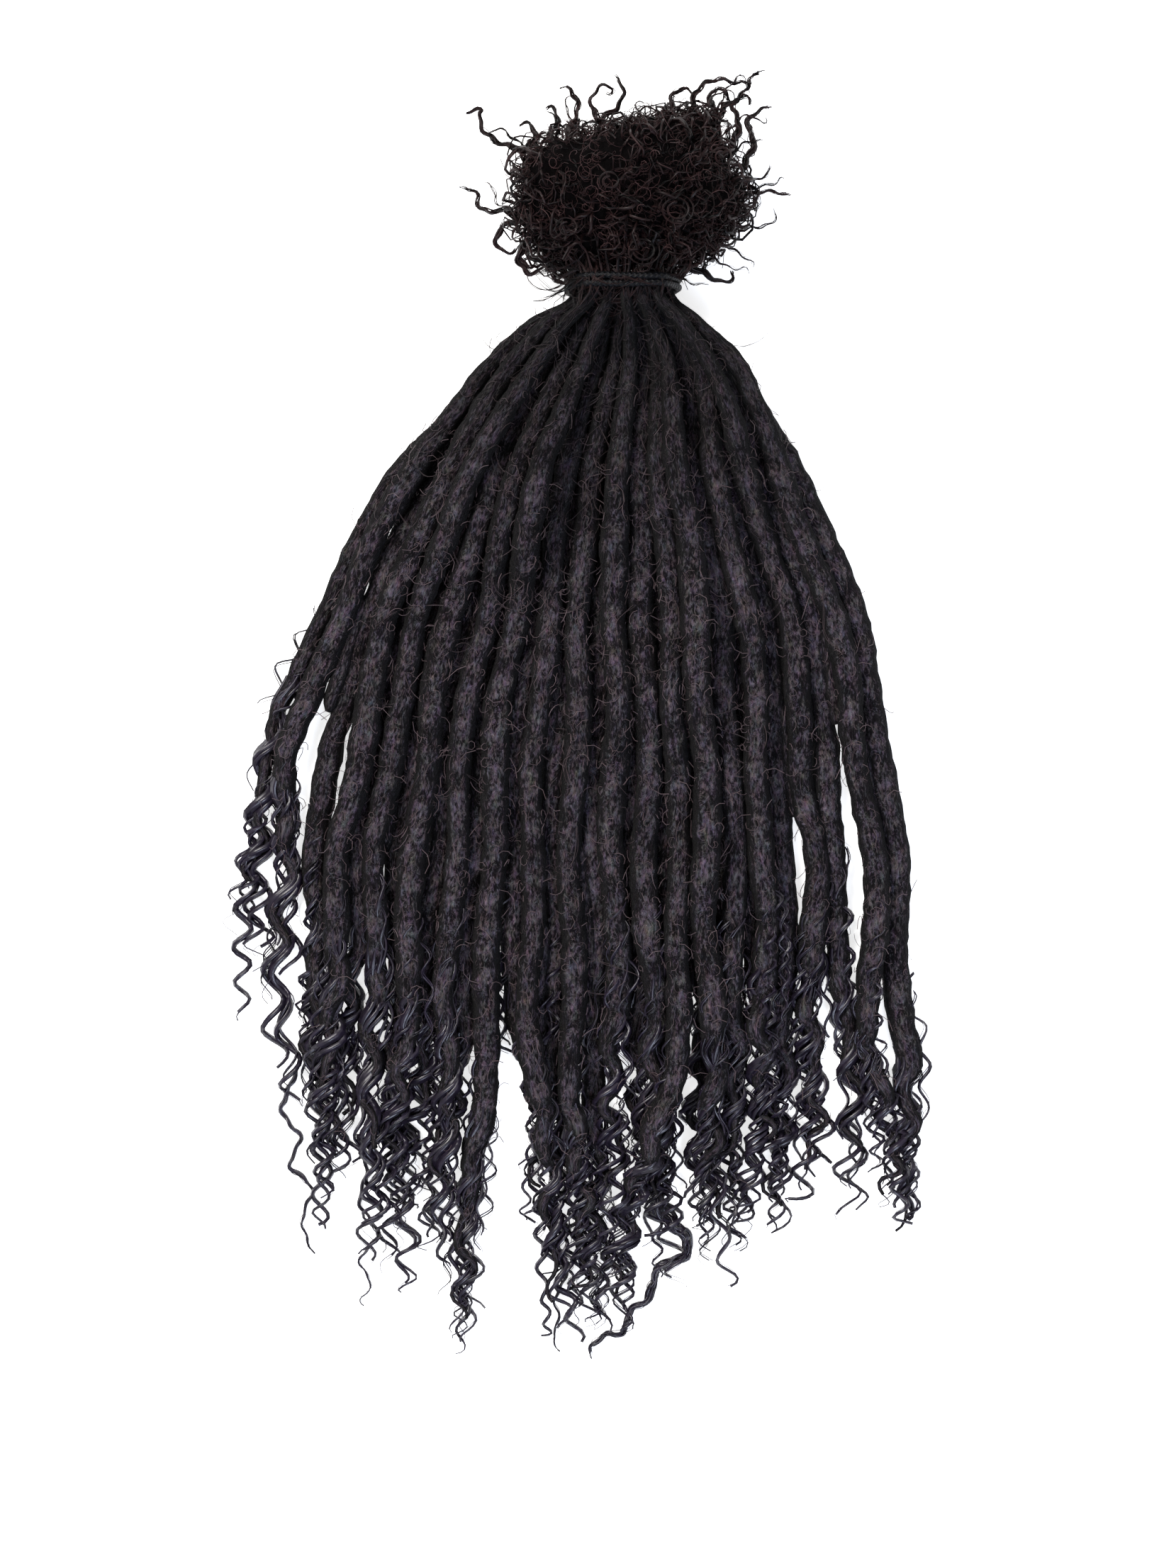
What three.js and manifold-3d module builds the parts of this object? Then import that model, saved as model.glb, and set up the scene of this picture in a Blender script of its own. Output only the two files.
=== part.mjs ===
// A bundle of boho locs: felted locs with curly ends, gathered by a hair elastic and laid flat.
// Above the elastic the unlocked root hair of all the locs stands out as one curly puff.
// Units are millimetres. +X runs across the bundle, +Y from the curly ends to the puff, +Z up.
// Each loc is let down onto the ones already laid, so none of them passes through another.
import * as THREE from "three";
import { mergeVertices } from "three/addons/utils/BufferGeometryUtils.js";
import Module from "manifold-3d";

const wasm = await Module();
wasm.setup();

// Driving dimensions
const LOC_LENGTH = 335; // from the elastic to the tip of the curl
const LOC_RADIUS = 4; // felted body
const NECK_LOC_RADIUS = 1.9; // the same loc where the elastic squeezes it
const NECK_WIDTH = 38; // across the elastic
const SPREAD_LENGTH = 60; // over which the locs fan out below the elastic
const SWELL_LENGTH = 80; // over which a loc fills out to its felted girth
const LUMP = 0.07; // share by which the felted body swells and narrows
const LUMP_PITCH = 37;
const WOBBLE = 1.3; // sideways wander of a loc
const WOBBLE_PITCH = 76;
const TIP_RADIUS = 0.9;
const CURL_PITCH = 24; // one wave of a curly end
const CURL_WIDTH = 3.2; // reach of the wave to either side
const FAN_LEFT = 119; // outer edge of the fan on the left of the elastic
const FAN_RIGHT = 91;
const LOC_GAP = 0.5; // clear space kept between locs
const BAND_WIDTH = 4.6; // the elastic, wound twice side by side
const BAND_THICKNESS = 2.2;
const BAND_GAP = 0.3;
const LOC_END = 0.7; // a loc's cut end stands this far out of the elastic
const STEM_GAP = 0.3; // between the cut ends of the locs and the puff's base
const PUFF_LEFT = 38;
const PUFF_RIGHT = 47;
const PUFF_RISE = 58; // from the elastic to the top of the dense hair
const PUFF_HEIGHT = 46; // off the surface that it lies on
const PUFF_LUMP = 0.05; // unevenness of the dense hair, as a share of its size
const LOCK_RADIUS = 5.4; // a curl of the puff, at its root
const LOCK_TAPER = 0.68; // share of its girth that it loses to the tip

const LOWER_ROWS = [0.86, 1, 1]; // widths of the rows of locs in the neck, as shares of the widest
const UPPER_ROWS = [1, 0.97, 0.86];

// How the drawing is resolved
const STEP = 3; // spacing of the stations at which locs are laid on each other
const STEEPEST = 0.55; // rise of a laid loc over its run
const BODY_SIDES = 7;
const CURL_SIDES = 4;
const RINGS_A_WAVE = 4;
const BODY_STRIDE = 8; // most stations between two sections of the body
const BAND_STEPS = 28;
const BAND_SIDES = 6;
const PUFF_SIDES = 16;
const LOCK_SIDES = 5;
const LOCK_RINGS = 4;
const WIDEST_CUT = 2; // of an oblique section, over the width square to the loc
const GOLDEN = 0.618034;

// Outer edge of the fan. depth is a share of LOC_LENGTH, left and right of FAN_LEFT and FAN_RIGHT.
const FAN = [
  { depth: 0.03, left: 0.29, right: 0.31 },
  { depth: 0.08, left: 0.42, right: 0.47 },
  { depth: 0.16, left: 0.59, right: 0.63 },
  { depth: 0.27, left: 0.77, right: 0.81 },
  { depth: 0.38, left: 0.9, right: 0.92 },
  { depth: 0.5, left: 0.98, right: 0.965 },
  { depth: 0.62, left: 1, right: 1 },
  { depth: 1.05, left: 1, right: 1 },
];

// Locs of the upper layer, from left to right. fan is the place across the fan, from -1 to 1, and
// drift moves the tip sideways by a share of LOC_LENGTH. girth is a share of LOC_RADIUS, length of
// LOC_LENGTH, and felt is the share of the length that is felted before the curl begins.
const UPPER = [
  { fan: -0.93, drift: 0.01, girth: 0.95, length: 0.88, felt: 0.66 },
  { fan: -0.76, drift: -0.01, girth: 1.05, length: 0.97, felt: 0.72 },
  { fan: -0.66, drift: 0.0, girth: 0.96, length: 1.0, felt: 0.7 },
  { fan: -0.555, drift: -0.02, girth: 1.04, length: 0.95, felt: 0.74 },
  { fan: -0.45, drift: -0.01, girth: 0.94, length: 0.97, felt: 0.72 },
  { fan: -0.35, drift: -0.03, girth: 1.06, length: 1.04, felt: 0.8 },
  { fan: -0.24, drift: 0.03, girth: 0.93, length: 1.02, felt: 0.78 },
  { fan: -0.13, drift: 0.01, girth: 1.0, length: 0.99, felt: 0.8 },
  { fan: -0.015, drift: 0.0, girth: 1.05, length: 0.94, felt: 0.72 },
  { fan: 0.1, drift: 0.01, girth: 1.08, length: 0.92, felt: 0.74 },
  { fan: 0.21, drift: -0.07, girth: 0.97, length: 1.02, felt: 0.78 },
  { fan: 0.31, drift: 0.01, girth: 1.07, length: 0.97, felt: 0.74 },
  { fan: 0.415, drift: -0.01, girth: 0.96, length: 0.92, felt: 0.76 },
  { fan: 0.52, drift: -0.01, girth: 1.0, length: 0.93, felt: 0.74 },
  { fan: 0.695, drift: -0.005, girth: 1.02, length: 0.92, felt: 0.76 },
  { fan: 0.885, drift: 0.02, girth: 1.02, length: 0.95, felt: 0.78 },
];

// Locs of the lower layer, which lie on the surface.
const LOWER = [
  { fan: -1, drift: 0.005, girth: 0.72, length: 0.82, felt: 0.6 },
  { fan: -0.83, drift: 0.01, girth: 0.95, length: 0.99, felt: 0.68 },
  { fan: -0.71, drift: -0.01, girth: 0.98, length: 0.93, felt: 0.72 },
  { fan: -0.6, drift: 0.0, girth: 0.94, length: 1.02, felt: 0.7 },
  { fan: -0.5, drift: -0.02, girth: 0.98, length: 0.92, felt: 0.74 },
  { fan: -0.4, drift: -0.03, girth: 0.96, length: 0.96, felt: 0.72 },
  { fan: -0.29, drift: 0.03, girth: 0.98, length: 0.92, felt: 0.76 },
  { fan: -0.18, drift: 0.01, girth: 0.96, length: 0.96, felt: 0.74 },
  { fan: -0.07, drift: 0.0, girth: 0.98, length: 1.01, felt: 0.76 },
  { fan: 0.05, drift: 0.01, girth: 0.95, length: 0.93, felt: 0.72 },
  { fan: 0.16, drift: 0.0, girth: 0.98, length: 0.97, felt: 0.74 },
  { fan: 0.27, drift: 0.01, girth: 0.96, length: 0.91, felt: 0.74 },
  { fan: 0.395, drift: 0.0, girth: 1.02, length: 0.95, felt: 0.72 },
  { fan: 0.6, drift: -0.015, girth: 1.0, length: 0.94, felt: 0.76 },
  { fan: 0.79, drift: 0.015, girth: 1.02, length: 0.93, felt: 0.74 },
  { fan: 0.98, drift: 0.01, girth: 1.08, length: 0.95, felt: 0.84 },
];

// Sections of the puff's dense hair. rise goes from 0 at the puff's base to 1 at PUFF_RISE. left and
// right are shares of PUFF_LEFT and PUFF_RIGHT, low and high of PUFF_HEIGHT.
const PUFF = [
  { rise: 0.05, left: -0.7, right: 0.56, low: 0.03, high: 0.62 },
  { rise: 0.16, left: -0.84, right: 0.72, low: 0, high: 0.72 },
  { rise: 0.32, left: -0.93, right: 0.88, low: 0, high: 0.86 },
  { rise: 0.48, left: -0.91, right: 0.9, low: 0, high: 0.93 },
  { rise: 0.64, left: -0.92, right: 0.78, low: 0, high: 0.92 },
  { rise: 0.78, left: -0.88, right: 0.75, low: 0, high: 0.84 },
  { rise: 0.89, left: -0.6, right: 0.74, low: 0.06, high: 0.72 },
  { rise: 0.96, left: -0.06, right: 0.6, low: 0.22, high: 0.56 },
];

// Curls that stand out of the puff. from and to are places in its plan: a share of PUFF_LEFT or
// PUFF_RIGHT, and a rise as in PUFF. at and tip are heights as shares of PUFF_HEIGHT. bow bends the
// curl sideways by a share of its length.
const CURLS = [
  { from: [-0.62, 0.64], at: 0.5, to: [-1.29, 0.95], tip: 0.56, bow: 0.3, girth: 0.9 },
  { from: [-0.74, 0.72], at: 0.3, to: [-1.06, 0.6], tip: 0.24, bow: -0.4, girth: 1 },
  { from: [-0.74, 0.48], at: 0.5, to: [-1.29, 0.48], tip: 0.44, bow: -0.3, girth: 0.8 },
  { from: [-0.69, 0.41], at: 0.3, to: [-1.04, 0.22], tip: 0.24, bow: -0.5, girth: 1.1 },
  { from: [-0.5, 0.28], at: 0.44, to: [-0.84, 0.1], tip: 0.36, bow: -0.5, girth: 1.2 },
  { from: [-0.64, 0.66], at: 0.66, to: [-0.52, 1], tip: 0.72, bow: 0.4, girth: 1.1 },
  { from: [-0.32, 0.7], at: 0.44, to: [-0.37, 1.04], tip: 0.46, bow: -0.4, girth: 1 },
  { from: [-0.12, 0.68], at: 0.64, to: [-0.07, 1.1], tip: 0.7, bow: -0.36, girth: 1 },
  { from: [0.06, 0.77], at: 0.4, to: [0.14, 1.06], tip: 0.44, bow: 0.5, girth: 1.2 },
  { from: [0.34, 0.73], at: 0.6, to: [0.4, 1.1], tip: 0.66, bow: 0.4, girth: 1.1 },
  { from: [0.5, 0.75], at: 0.4, to: [0.92, 1.14], tip: 0.48, bow: 0.36, girth: 1.2 },
  { from: [0.54, 0.6], at: 0.6, to: [0.9, 0.9], tip: 0.66, bow: -0.4, girth: 1.1 },
  { from: [0.56, 0.58], at: 0.3, to: [0.9, 0.6], tip: 0.24, bow: -0.4, girth: 1 },
  { from: [0.64, 0.47], at: 0.5, to: [1.12, 0.45], tip: 0.44, bow: 0.2, girth: 1.2 },
  { from: [0.6, 0.41], at: 0.34, to: [1.04, 0.24], tip: 0.28, bow: 0.3, girth: 1.2 },
  { from: [0.44, 0.26], at: 0.4, to: [0.84, 0.09], tip: 0.34, bow: -0.3, girth: 1.1 },
  { from: [-0.37, 0.36], at: 0.7, to: [-0.77, 0.26], tip: 0.86, bow: 0.5, girth: 1.2 },
  { from: [-0.5, 0.58], at: 0.74, to: [-0.79, 0.73], tip: 0.92, bow: 0.5, girth: 1.1 },
  { from: [-0.07, 0.47], at: 0.82, to: [-0.32, 0.64], tip: 1.04, bow: 0.5, girth: 1.2 },
  { from: [-0.07, 0.26], at: 0.62, to: [-0.37, 0.11], tip: 0.82, bow: -0.5, girth: 1.1 },
  { from: [0.18, 0.54], at: 0.82, to: [0.34, 0.34], tip: 1.05, bow: 0.6, girth: 1.3 },
  { from: [0.06, 0.28], at: 0.64, to: [0.26, 0.15], tip: 0.88, bow: -0.6, girth: 1.2 },
  { from: [0.4, 0.47], at: 0.74, to: [0.66, 0.3], tip: 0.86, bow: 0.5, girth: 1.2 },
  { from: [0.3, 0.64], at: 0.8, to: [0.6, 0.7], tip: 1, bow: 0.6, girth: 1.3 },
  { from: [0.06, 0.7], at: 0.7, to: [0.16, 0.89], tip: 0.94, bow: -0.5, girth: 1.1 },
];

// Looks
const HAIR = { color: 0x2b282b, roughness: 0.85, metalness: 0 };
const PUFF_HAIR = { color: 0x1f1a1c, roughness: 0.8, metalness: 0 };
const ELASTIC = { color: 0x14161d, roughness: 0.6, metalness: 0 };

// Small helpers
const smooth = (t) => t * t * (3 - 2 * t);
const ease = (from, to, value) =>
  smooth(THREE.MathUtils.clamp((value - from) / (to - from), 0, 1));
const phaseOf = (index) => 2 * Math.PI * ((index * GOLDEN) % 1);
const apothem = (radius, sides) => radius * Math.cos(Math.PI / sides);

// Reads a column of a table at a place along it, on a smooth curve through the rows.
function readTable(rows, place, column, at) {
  const last = rows.length - 1;
  const next = rows.findIndex((row) => row[place] > at);
  if (next === 0) return rows[0][column];
  if (next < 0) return rows[last][column];
  const [a, b, c, d] = [next - 2, next - 1, next, next + 1].map(
    (k) => rows[THREE.MathUtils.clamp(k, 0, last)],
  );
  const run = c[place] - b[place];
  const slopeB = (c[column] - a[column]) / Math.max(c[place] - a[place], run);
  const slopeC = (d[column] - b[column]) / Math.max(d[place] - b[place], run);
  const t = (at - b[place]) / run;
  const rise = c[column] - b[column];
  return (
    b[column] +
    rise * smooth(t) +
    run * t * (1 - t) * ((1 - t) * slopeB - t * slopeC)
  );
}

// Rings are lists of points, all turning the same way. Two neighbours may differ in how many points
// they have: the seam between them then advances on whichever ring is behind.
function stitch(faces, lower, upper) {
  let i = 0;
  let j = 0;
  while (i < lower.length || j < upper.length) {
    const a = lower[i % lower.length];
    const b = upper[j % upper.length];
    if ((i + 0.5) / lower.length <= (j + 0.5) / upper.length && i < lower.length) {
      i += 1;
      faces.push(a, lower[i % lower.length], b);
    } else {
      j += 1;
      faces.push(a, upper[j % upper.length], b);
    }
  }
}

function loft(rings) {
  const points = [];
  const faces = [];
  const indexed = rings.map((ring) => ring.map((point) => points.push(point) - 1));
  for (let k = 0; k + 1 < indexed.length; k += 1) {
    stitch(faces, indexed[k], indexed[k + 1]);
  }
  const first = indexed[0];
  const last = indexed[indexed.length - 1];
  for (let k = 1; k + 1 < first.length; k += 1) faces.push(first[0], first[k + 1], first[k]);
  for (let k = 1; k + 1 < last.length; k += 1) faces.push(last[0], last[k], last[k + 1]);
  const geometry = new THREE.BufferGeometry().setFromPoints(points);
  geometry.setIndex(faces);
  return geometry;
}

// Points of an ellipse in the plane of constant y, with one flat side down.
function section(x, y, z, halfWidth, halfHeight, sides) {
  return Array.from({ length: sides }, (_, k) => {
    const angle = -Math.PI / 2 + ((k + 0.5) * 2 * Math.PI) / sides;
    return new THREE.Vector3(
      x + halfWidth * Math.cos(angle),
      y,
      z + halfHeight * Math.sin(angle),
    );
  });
}

function solidOf(geometry) {
  const bare = new THREE.BufferGeometry();
  bare.setAttribute("position", geometry.getAttribute("position"));
  bare.setIndex(geometry.getIndex());
  const merged = mergeVertices(bare);
  return new wasm.Manifold(
    new wasm.Mesh({
      numProp: 3,
      vertProperties: merged.getAttribute("position").array,
      triVerts: new Uint32Array(merged.getIndex().array),
    }),
  );
}

function geometryOf(solid) {
  const mesh = solid.getMesh();
  const geometry = new THREE.BufferGeometry();
  geometry.setAttribute("position", new THREE.BufferAttribute(mesh.vertProperties, 3));
  geometry.setIndex(new THREE.BufferAttribute(mesh.triVerts, 1));
  return geometry;
}

function meshOf(name, geometry, look) {
  geometry.computeVertexNormals();
  const mesh = new THREE.Mesh(geometry, new THREE.MeshStandardMaterial(look));
  mesh.name = name;
  return mesh;
}

// Where a loc runs in plan. A loc runs straight through the elastic, from its end to as far below.
const LOC_TOP = BAND_WIDTH / 2 + LOC_END;
const STRAIGHT = Math.ceil((2 * LOC_TOP) / STEP); // stations of the straight stretch
const NECK_HALF = NECK_WIDTH / 2 - BAND_THICKNESS - BAND_GAP - NECK_LOC_RADIUS;
const NECK_PITCH = NECK_HALF / (UPPER.length / 2);

// Half width of the fan at a depth, at the middle line of an outermost loc.
function fanHalf(depth, side) {
  const reach = side === "left" ? FAN_LEFT : FAN_RIGHT;
  const edge = readTable(FAN, "depth", side, depth / LOC_LENGTH) * reach - LOC_RADIUS;
  return THREE.MathUtils.lerp(NECK_HALF, edge, ease(LOC_TOP, LOC_TOP + SPREAD_LENGTH / 5, depth));
}

// In the elastic a layer is bunched up in three rows. widths narrows or widens a row, as a share.
function laidOut(layerRows, layer, offset, widths) {
  const middle = (layerRows.length - 1) / 2;
  const locs = layerRows.map((row, place) => {
    const neck = (place - middle + offset) * NECK_PITCH * widths[place % widths.length];
    return { ...row, layer, place, neck };
  });
  return widths.flatMap((_, row) => locs.filter((loc) => loc.place % widths.length === row));
}

// The drawn line of a loc, in stations one STEP of depth apart.
function drawn(loc, index) {
  const phase = phaseOf(index + 1);
  const length = loc.length * LOC_LENGTH;
  const felted = loc.felt * length;
  const full = loc.girth * LOC_RADIUS;
  const stations = [];
  for (let run = 0; run < length; ) {
    const depth = stations.length * STEP - LOC_TOP;
    const half = fanHalf(depth, loc.fan < 0 ? "left" : "right");
    const spread = ease(LOC_TOP, SPREAD_LENGTH, depth);
    const curl = ease(felted * 0.9, length, run);
    const wander = WOBBLE * ease(SPREAD_LENGTH / 2, SPREAD_LENGTH * 2, run);
    const wave = (2 * Math.PI * (run - felted)) / CURL_PITCH + phase;
    const x =
      THREE.MathUtils.lerp((loc.neck / NECK_HALF) * half, loc.fan * half, spread) +
      wander * Math.sin((2 * Math.PI * run) / WOBBLE_PITCH + phase) +
      loc.drift * LOC_LENGTH * ease(felted * 0.8, length, run) +
      CURL_WIDTH * Math.sqrt(curl) * Math.sin(wave);
    const before = stations[stations.length - 1];
    run = before ? before.run + Math.hypot(x - before.x, STEP) : 0;
    const swell = ease(0, SWELL_LENGTH, run);
    const lump = 1 + LUMP * swell * Math.sin((2 * Math.PI * run) / LUMP_PITCH + 2 * phase);
    const body = THREE.MathUtils.lerp(NECK_LOC_RADIUS, full, swell) * lump;
    const radius = THREE.MathUtils.lerp(body, TIP_RADIUS, ease(felted * 0.92, length, run));
    const lift = CURL_WIDTH * curl * (1 + Math.cos(wave)) * 0.5;
    stations.push({ depth, x, run, radius, lift });
  }
  return { ...loc, felted, stations };
}

// Stations at which a loc gets a section: close together where it leaves the elastic, further
// apart along the body, and a few to each wave of the curl.
function cutsOf({ stations, felted }) {
  const last = stations.length - 1;
  const cuts = [0];
  for (let k = STRAIGHT; stations[k].run < felted; k += Math.min(1 + cuts.length, BODY_STRIDE)) {
    cuts.push(k);
  }
  const stride = Math.round(CURL_PITCH / RINGS_A_WAVE / STEP);
  for (let k = cuts[cuts.length - 1] + stride; k < last - 1; k += stride) cuts.push(k);
  return [...cuts, last];
}

// Between its sections a solid is straight, so the stations there are moved onto straight lines.
function between(cuts, stations, column) {
  for (let n = 0; n + 1 < cuts.length; n += 1) {
    const [from, to] = [stations[cuts[n]], stations[cuts[n + 1]]];
    for (let k = cuts[n] + 1; k < cuts[n + 1]; k += 1) {
      const share = (k - cuts[n]) / (cuts[n + 1] - cuts[n]);
      stations[k][column] = THREE.MathUtils.lerp(from[column], to[column], share);
    }
  }
}

function plan(loc, index) {
  const line = drawn(loc, index);
  const { stations } = line;
  const cuts = cutsOf(line);
  cuts.forEach((k, n) => {
    const a = stations[cuts[Math.max(n - 1, 0)]];
    const b = stations[cuts[Math.min(n + 1, cuts.length - 1)]];
    const slope = k > STRAIGHT ? (b.x - a.x) / (b.depth - a.depth) : 0;
    stations[k].halfWidth = stations[k].radius * Math.min(Math.hypot(1, slope), WIDEST_CUT);
  });
  for (const column of ["x", "radius", "halfWidth", "lift"]) between(cuts, stations, column);
  return { ...line, cuts };
}

// How high a loc's middle has to be at one station to clear the loc below it.
function clearance(station, below) {
  if (!below) return 0;
  const squeeze = Math.min(station.radius / station.halfWidth, below.radius / below.halfWidth);
  const apart = (station.x - below.x) * squeeze;
  const reach = station.radius + below.radius + LOC_GAP;
  const over = reach * reach - apart * apart;
  return over > 0 ? below.z + Math.sqrt(over) : 0;
}

// Lets a loc down onto the surface, the elastic and the locs already laid. A stiff loc doesn't drop
// into a narrow gap, so its rise and fall are held under STEEPEST.
function lay(loc, laid) {
  const { stations, cuts } = loc;
  const heights = stations.map((station, k) => {
    const onBand = BAND_THICKNESS + BAND_GAP + station.radius;
    const onFloor = apothem(station.radius, BODY_SIDES) + station.lift;
    const resting = k <= STRAIGHT ? onBand : onFloor;
    return Math.max(resting, ...laid.map((other) => clearance(station, other.stations[k])));
  });
  for (const k of cuts) stations[k].z = heights[k];
  for (let n = 0; n + 1 < cuts.length; n += 1) {
    const [from, to] = [stations[cuts[n]], stations[cuts[n + 1]]];
    for (let k = cuts[n] + 1; k < cuts[n + 1]; k += 1) {
      const share = (k - cuts[n]) / (cuts[n + 1] - cuts[n]);
      const short = Math.max(0, heights[k] - THREE.MathUtils.lerp(from.z, to.z, share));
      from.z += short;
      to.z += short;
    }
  }
  const hold = (a, b) => {
    a.z = Math.max(a.z, b.z - STEEPEST * Math.abs(a.depth - b.depth));
  };
  for (let n = 1; n < cuts.length; n += 1) hold(stations[cuts[n]], stations[cuts[n - 1]]);
  for (let n = cuts.length - 1; n > 0; n -= 1) hold(stations[cuts[n - 1]], stations[cuts[n]]);
  between(cuts, stations, "z");
  return [...laid, loc];
}

function locGeometry({ stations, cuts, felted }) {
  const rings = cuts.map((k) => {
    const { x, depth, z, halfWidth, radius, run } = stations[k];
    return section(x, -depth, z, halfWidth, radius, run < felted ? BODY_SIDES : CURL_SIDES);
  });
  return loft(rings);
}

// The elastic is drawn round the outermost locs in the neck. Its corners are where neighbouring
// lines that touch the bundle from outside cross each other.
function bandGeometry(locs) {
  const necks = locs.flatMap((loc) =>
    loc.stations.filter((station) => Math.abs(station.depth) <= BAND_WIDTH / 2),
  );
  const off = BAND_GAP + BAND_THICKNESS / 2;
  const turn = (2 * Math.PI) / BAND_STEPS;
  const lines = Array.from({ length: BAND_STEPS }, (_, k) => {
    const [dx, dz] = [Math.cos(k * turn), Math.sin(k * turn)];
    const reach = Math.max(...necks.map((neck) => neck.x * dx + neck.z * dz + neck.radius));
    return { dx, dz, reach: reach + off };
  });
  const points = lines.map(({ dx, dz, reach }, k) => {
    const next = lines[(k + 1) % BAND_STEPS];
    const along = (next.reach - reach * Math.cos(turn)) / Math.sin(turn);
    return new THREE.Vector2(reach * dx - along * dz, reach * dz + along * dx);
  });
  const rings = points.map((point, k) => {
    const before = points[(k + BAND_STEPS - 1) % BAND_STEPS];
    const after = points[(k + 1) % BAND_STEPS];
    const along = after.clone().sub(before).normalize();
    return Array.from({ length: BAND_SIDES }, (_, side) => {
      const angle = ((side + 0.5) * 2 * Math.PI) / BAND_SIDES;
      const out = (BAND_THICKNESS / 2) * Math.cos(angle);
      return new THREE.Vector3(
        point.x + out * along.y,
        (BAND_WIDTH / 2) * Math.sin(angle),
        Math.max(point.y - out * along.x, 0),
      );
    });
  });
  const vertices = rings.flat();
  const faces = [];
  for (let k = 0; k < BAND_STEPS; k += 1) {
    for (let side = 0; side < BAND_SIDES; side += 1) {
      const [here, next] = [k * BAND_SIDES, ((k + 1) % BAND_STEPS) * BAND_SIDES];
      const beside = (side + 1) % BAND_SIDES;
      faces.push(here + side, here + beside, next + side);
      faces.push(here + beside, next + beside, next + side);
    }
  }
  const geometry = new THREE.BufferGeometry().setFromPoints(vertices);
  geometry.setIndex(faces);
  return geometry;
}

const puffY = (rise) => THREE.MathUtils.lerp(LOC_TOP + STEM_GAP, PUFF_RISE, rise);

// The puff's dense hair begins as a stem as wide as the neck and swells to a lumpy head.
function puffHead(neck) {
  const head = PUFF.map((row) => ({
    y: puffY(row.rise),
    left: row.left * PUFF_LEFT,
    right: row.right * PUFF_RIGHT,
    low: row.low * PUFF_HEIGHT,
    high: row.high * PUFF_HEIGHT,
  }));
  const rings = [{ y: puffY(0), ...neck }, ...head].map((row, level) => {
    const [middle, half] = [(row.left + row.right) / 2, (row.right - row.left) / 2];
    const [centre, tall] = [(row.low + row.high) / 2, (row.high - row.low) / 2];
    return section(middle, row.y, centre, half, tall, PUFF_SIDES).map((point, k) => {
      const lump = level ? 1 + PUFF_LUMP * Math.sin(3 * phaseOf(level * PUFF_SIDES + k)) : 1;
      point.x = middle + (point.x - middle) * lump;
      point.z = Math.max(centre + (point.z - centre) * lump, row.low);
      return point;
    });
  });
  return loft(rings.reverse());
}

function puffCurl(curl) {
  const place = ([across, rise], height) =>
    new THREE.Vector3(
      across * (across < 0 ? PUFF_LEFT : PUFF_RIGHT),
      puffY(rise),
      height * PUFF_HEIGHT,
    );
  const from = place(curl.from, curl.at);
  const to = place(curl.to, curl.tip);
  const aside = to.clone().sub(from);
  const bend = new THREE.Vector3(-aside.y, aside.x, 0).multiplyScalar(curl.bow);
  const middle = from.clone().lerp(to, 0.6).add(bend);
  const spine = new THREE.CatmullRomCurve3([from, middle, to]);
  const frames = spine.computeFrenetFrames(LOCK_RINGS, false);
  const rings = spine.getPoints(LOCK_RINGS).map((point, k) => {
    const radius = curl.girth * LOCK_RADIUS * (1 - (LOCK_TAPER * k) / LOCK_RINGS);
    return Array.from({ length: LOCK_SIDES }, (_, side) => {
      const angle = (side * 2 * Math.PI) / LOCK_SIDES;
      return point
        .clone()
        .addScaledVector(frames.normals[k], radius * Math.cos(angle))
        .addScaledVector(frames.binormals[k], radius * Math.sin(angle));
    });
  });
  return loft(rings);
}

function puffGeometry(neck) {
  const curls = CURLS.map((curl) => solidOf(puffCurl(curl)));
  const whole = curls.reduce((sum, curl) => sum.add(curl), solidOf(puffHead(neck)));
  return geometryOf(whole);
}

// Assembly
const order = [...laidOut(LOWER, "lower", 0, LOWER_ROWS), ...laidOut(UPPER, "upper", 0.5, UPPER_ROWS)];
const locs = order.map(plan).reduce((laid, loc) => lay(loc, laid), []);
const necks = locs.map((loc) => loc.stations[0]);
const neck = {
  left: Math.min(...necks.map((end) => end.x - end.radius)),
  right: Math.max(...necks.map((end) => end.x + end.radius)),
  low: Math.min(...necks.map((end) => end.z - end.radius)),
  high: Math.max(...necks.map((end) => end.z + end.radius)),
};

const bundle = new THREE.Group();
bundle.name = "boho_loc_bundle";
for (const loc of locs) {
  const name = `loc_${loc.layer}_${String(loc.place + 1).padStart(2, "0")}`;
  bundle.add(meshOf(name, locGeometry(loc), HAIR));
}
bundle.add(meshOf("tie_elastic", bandGeometry(locs), ELASTIC));
bundle.add(meshOf("root_puff", puffGeometry(neck), PUFF_HAIR));

// The origin is under the middle of the whole bundle, on the surface that it lies on.
const box = new THREE.Box3().setFromObject(bundle, true);
const centre = box.getCenter(new THREE.Vector3());
for (const mesh of bundle.children) mesh.position.set(-centre.x, -centre.y, -box.min.z);

export default bundle;
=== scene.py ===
# %% [markdown]
# A bundle of boho locs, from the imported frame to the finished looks
# Boho locs are locks of human hair that were felted into soft round cords, with the last
# quarter of each left as loose, wavy hair. Thirty-two of them lie on a white table, gathered by
# a hair elastic, and above it their unfelted roots stand out as one curly puff. The frame that
# is loaded here holds each loc as a plain solid. The lesson dresses every solid with the surface
# that the real hair shows, and takes its sizes and places from the solids. Only what follows no
# rule, such as single locks and wisps, is drawn through points of the photograph.

# %% Load the frame and note its size
import math

import bpy
import numpy as np
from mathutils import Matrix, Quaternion, Vector
from mathutils.bvhtree import BVHTree


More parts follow.
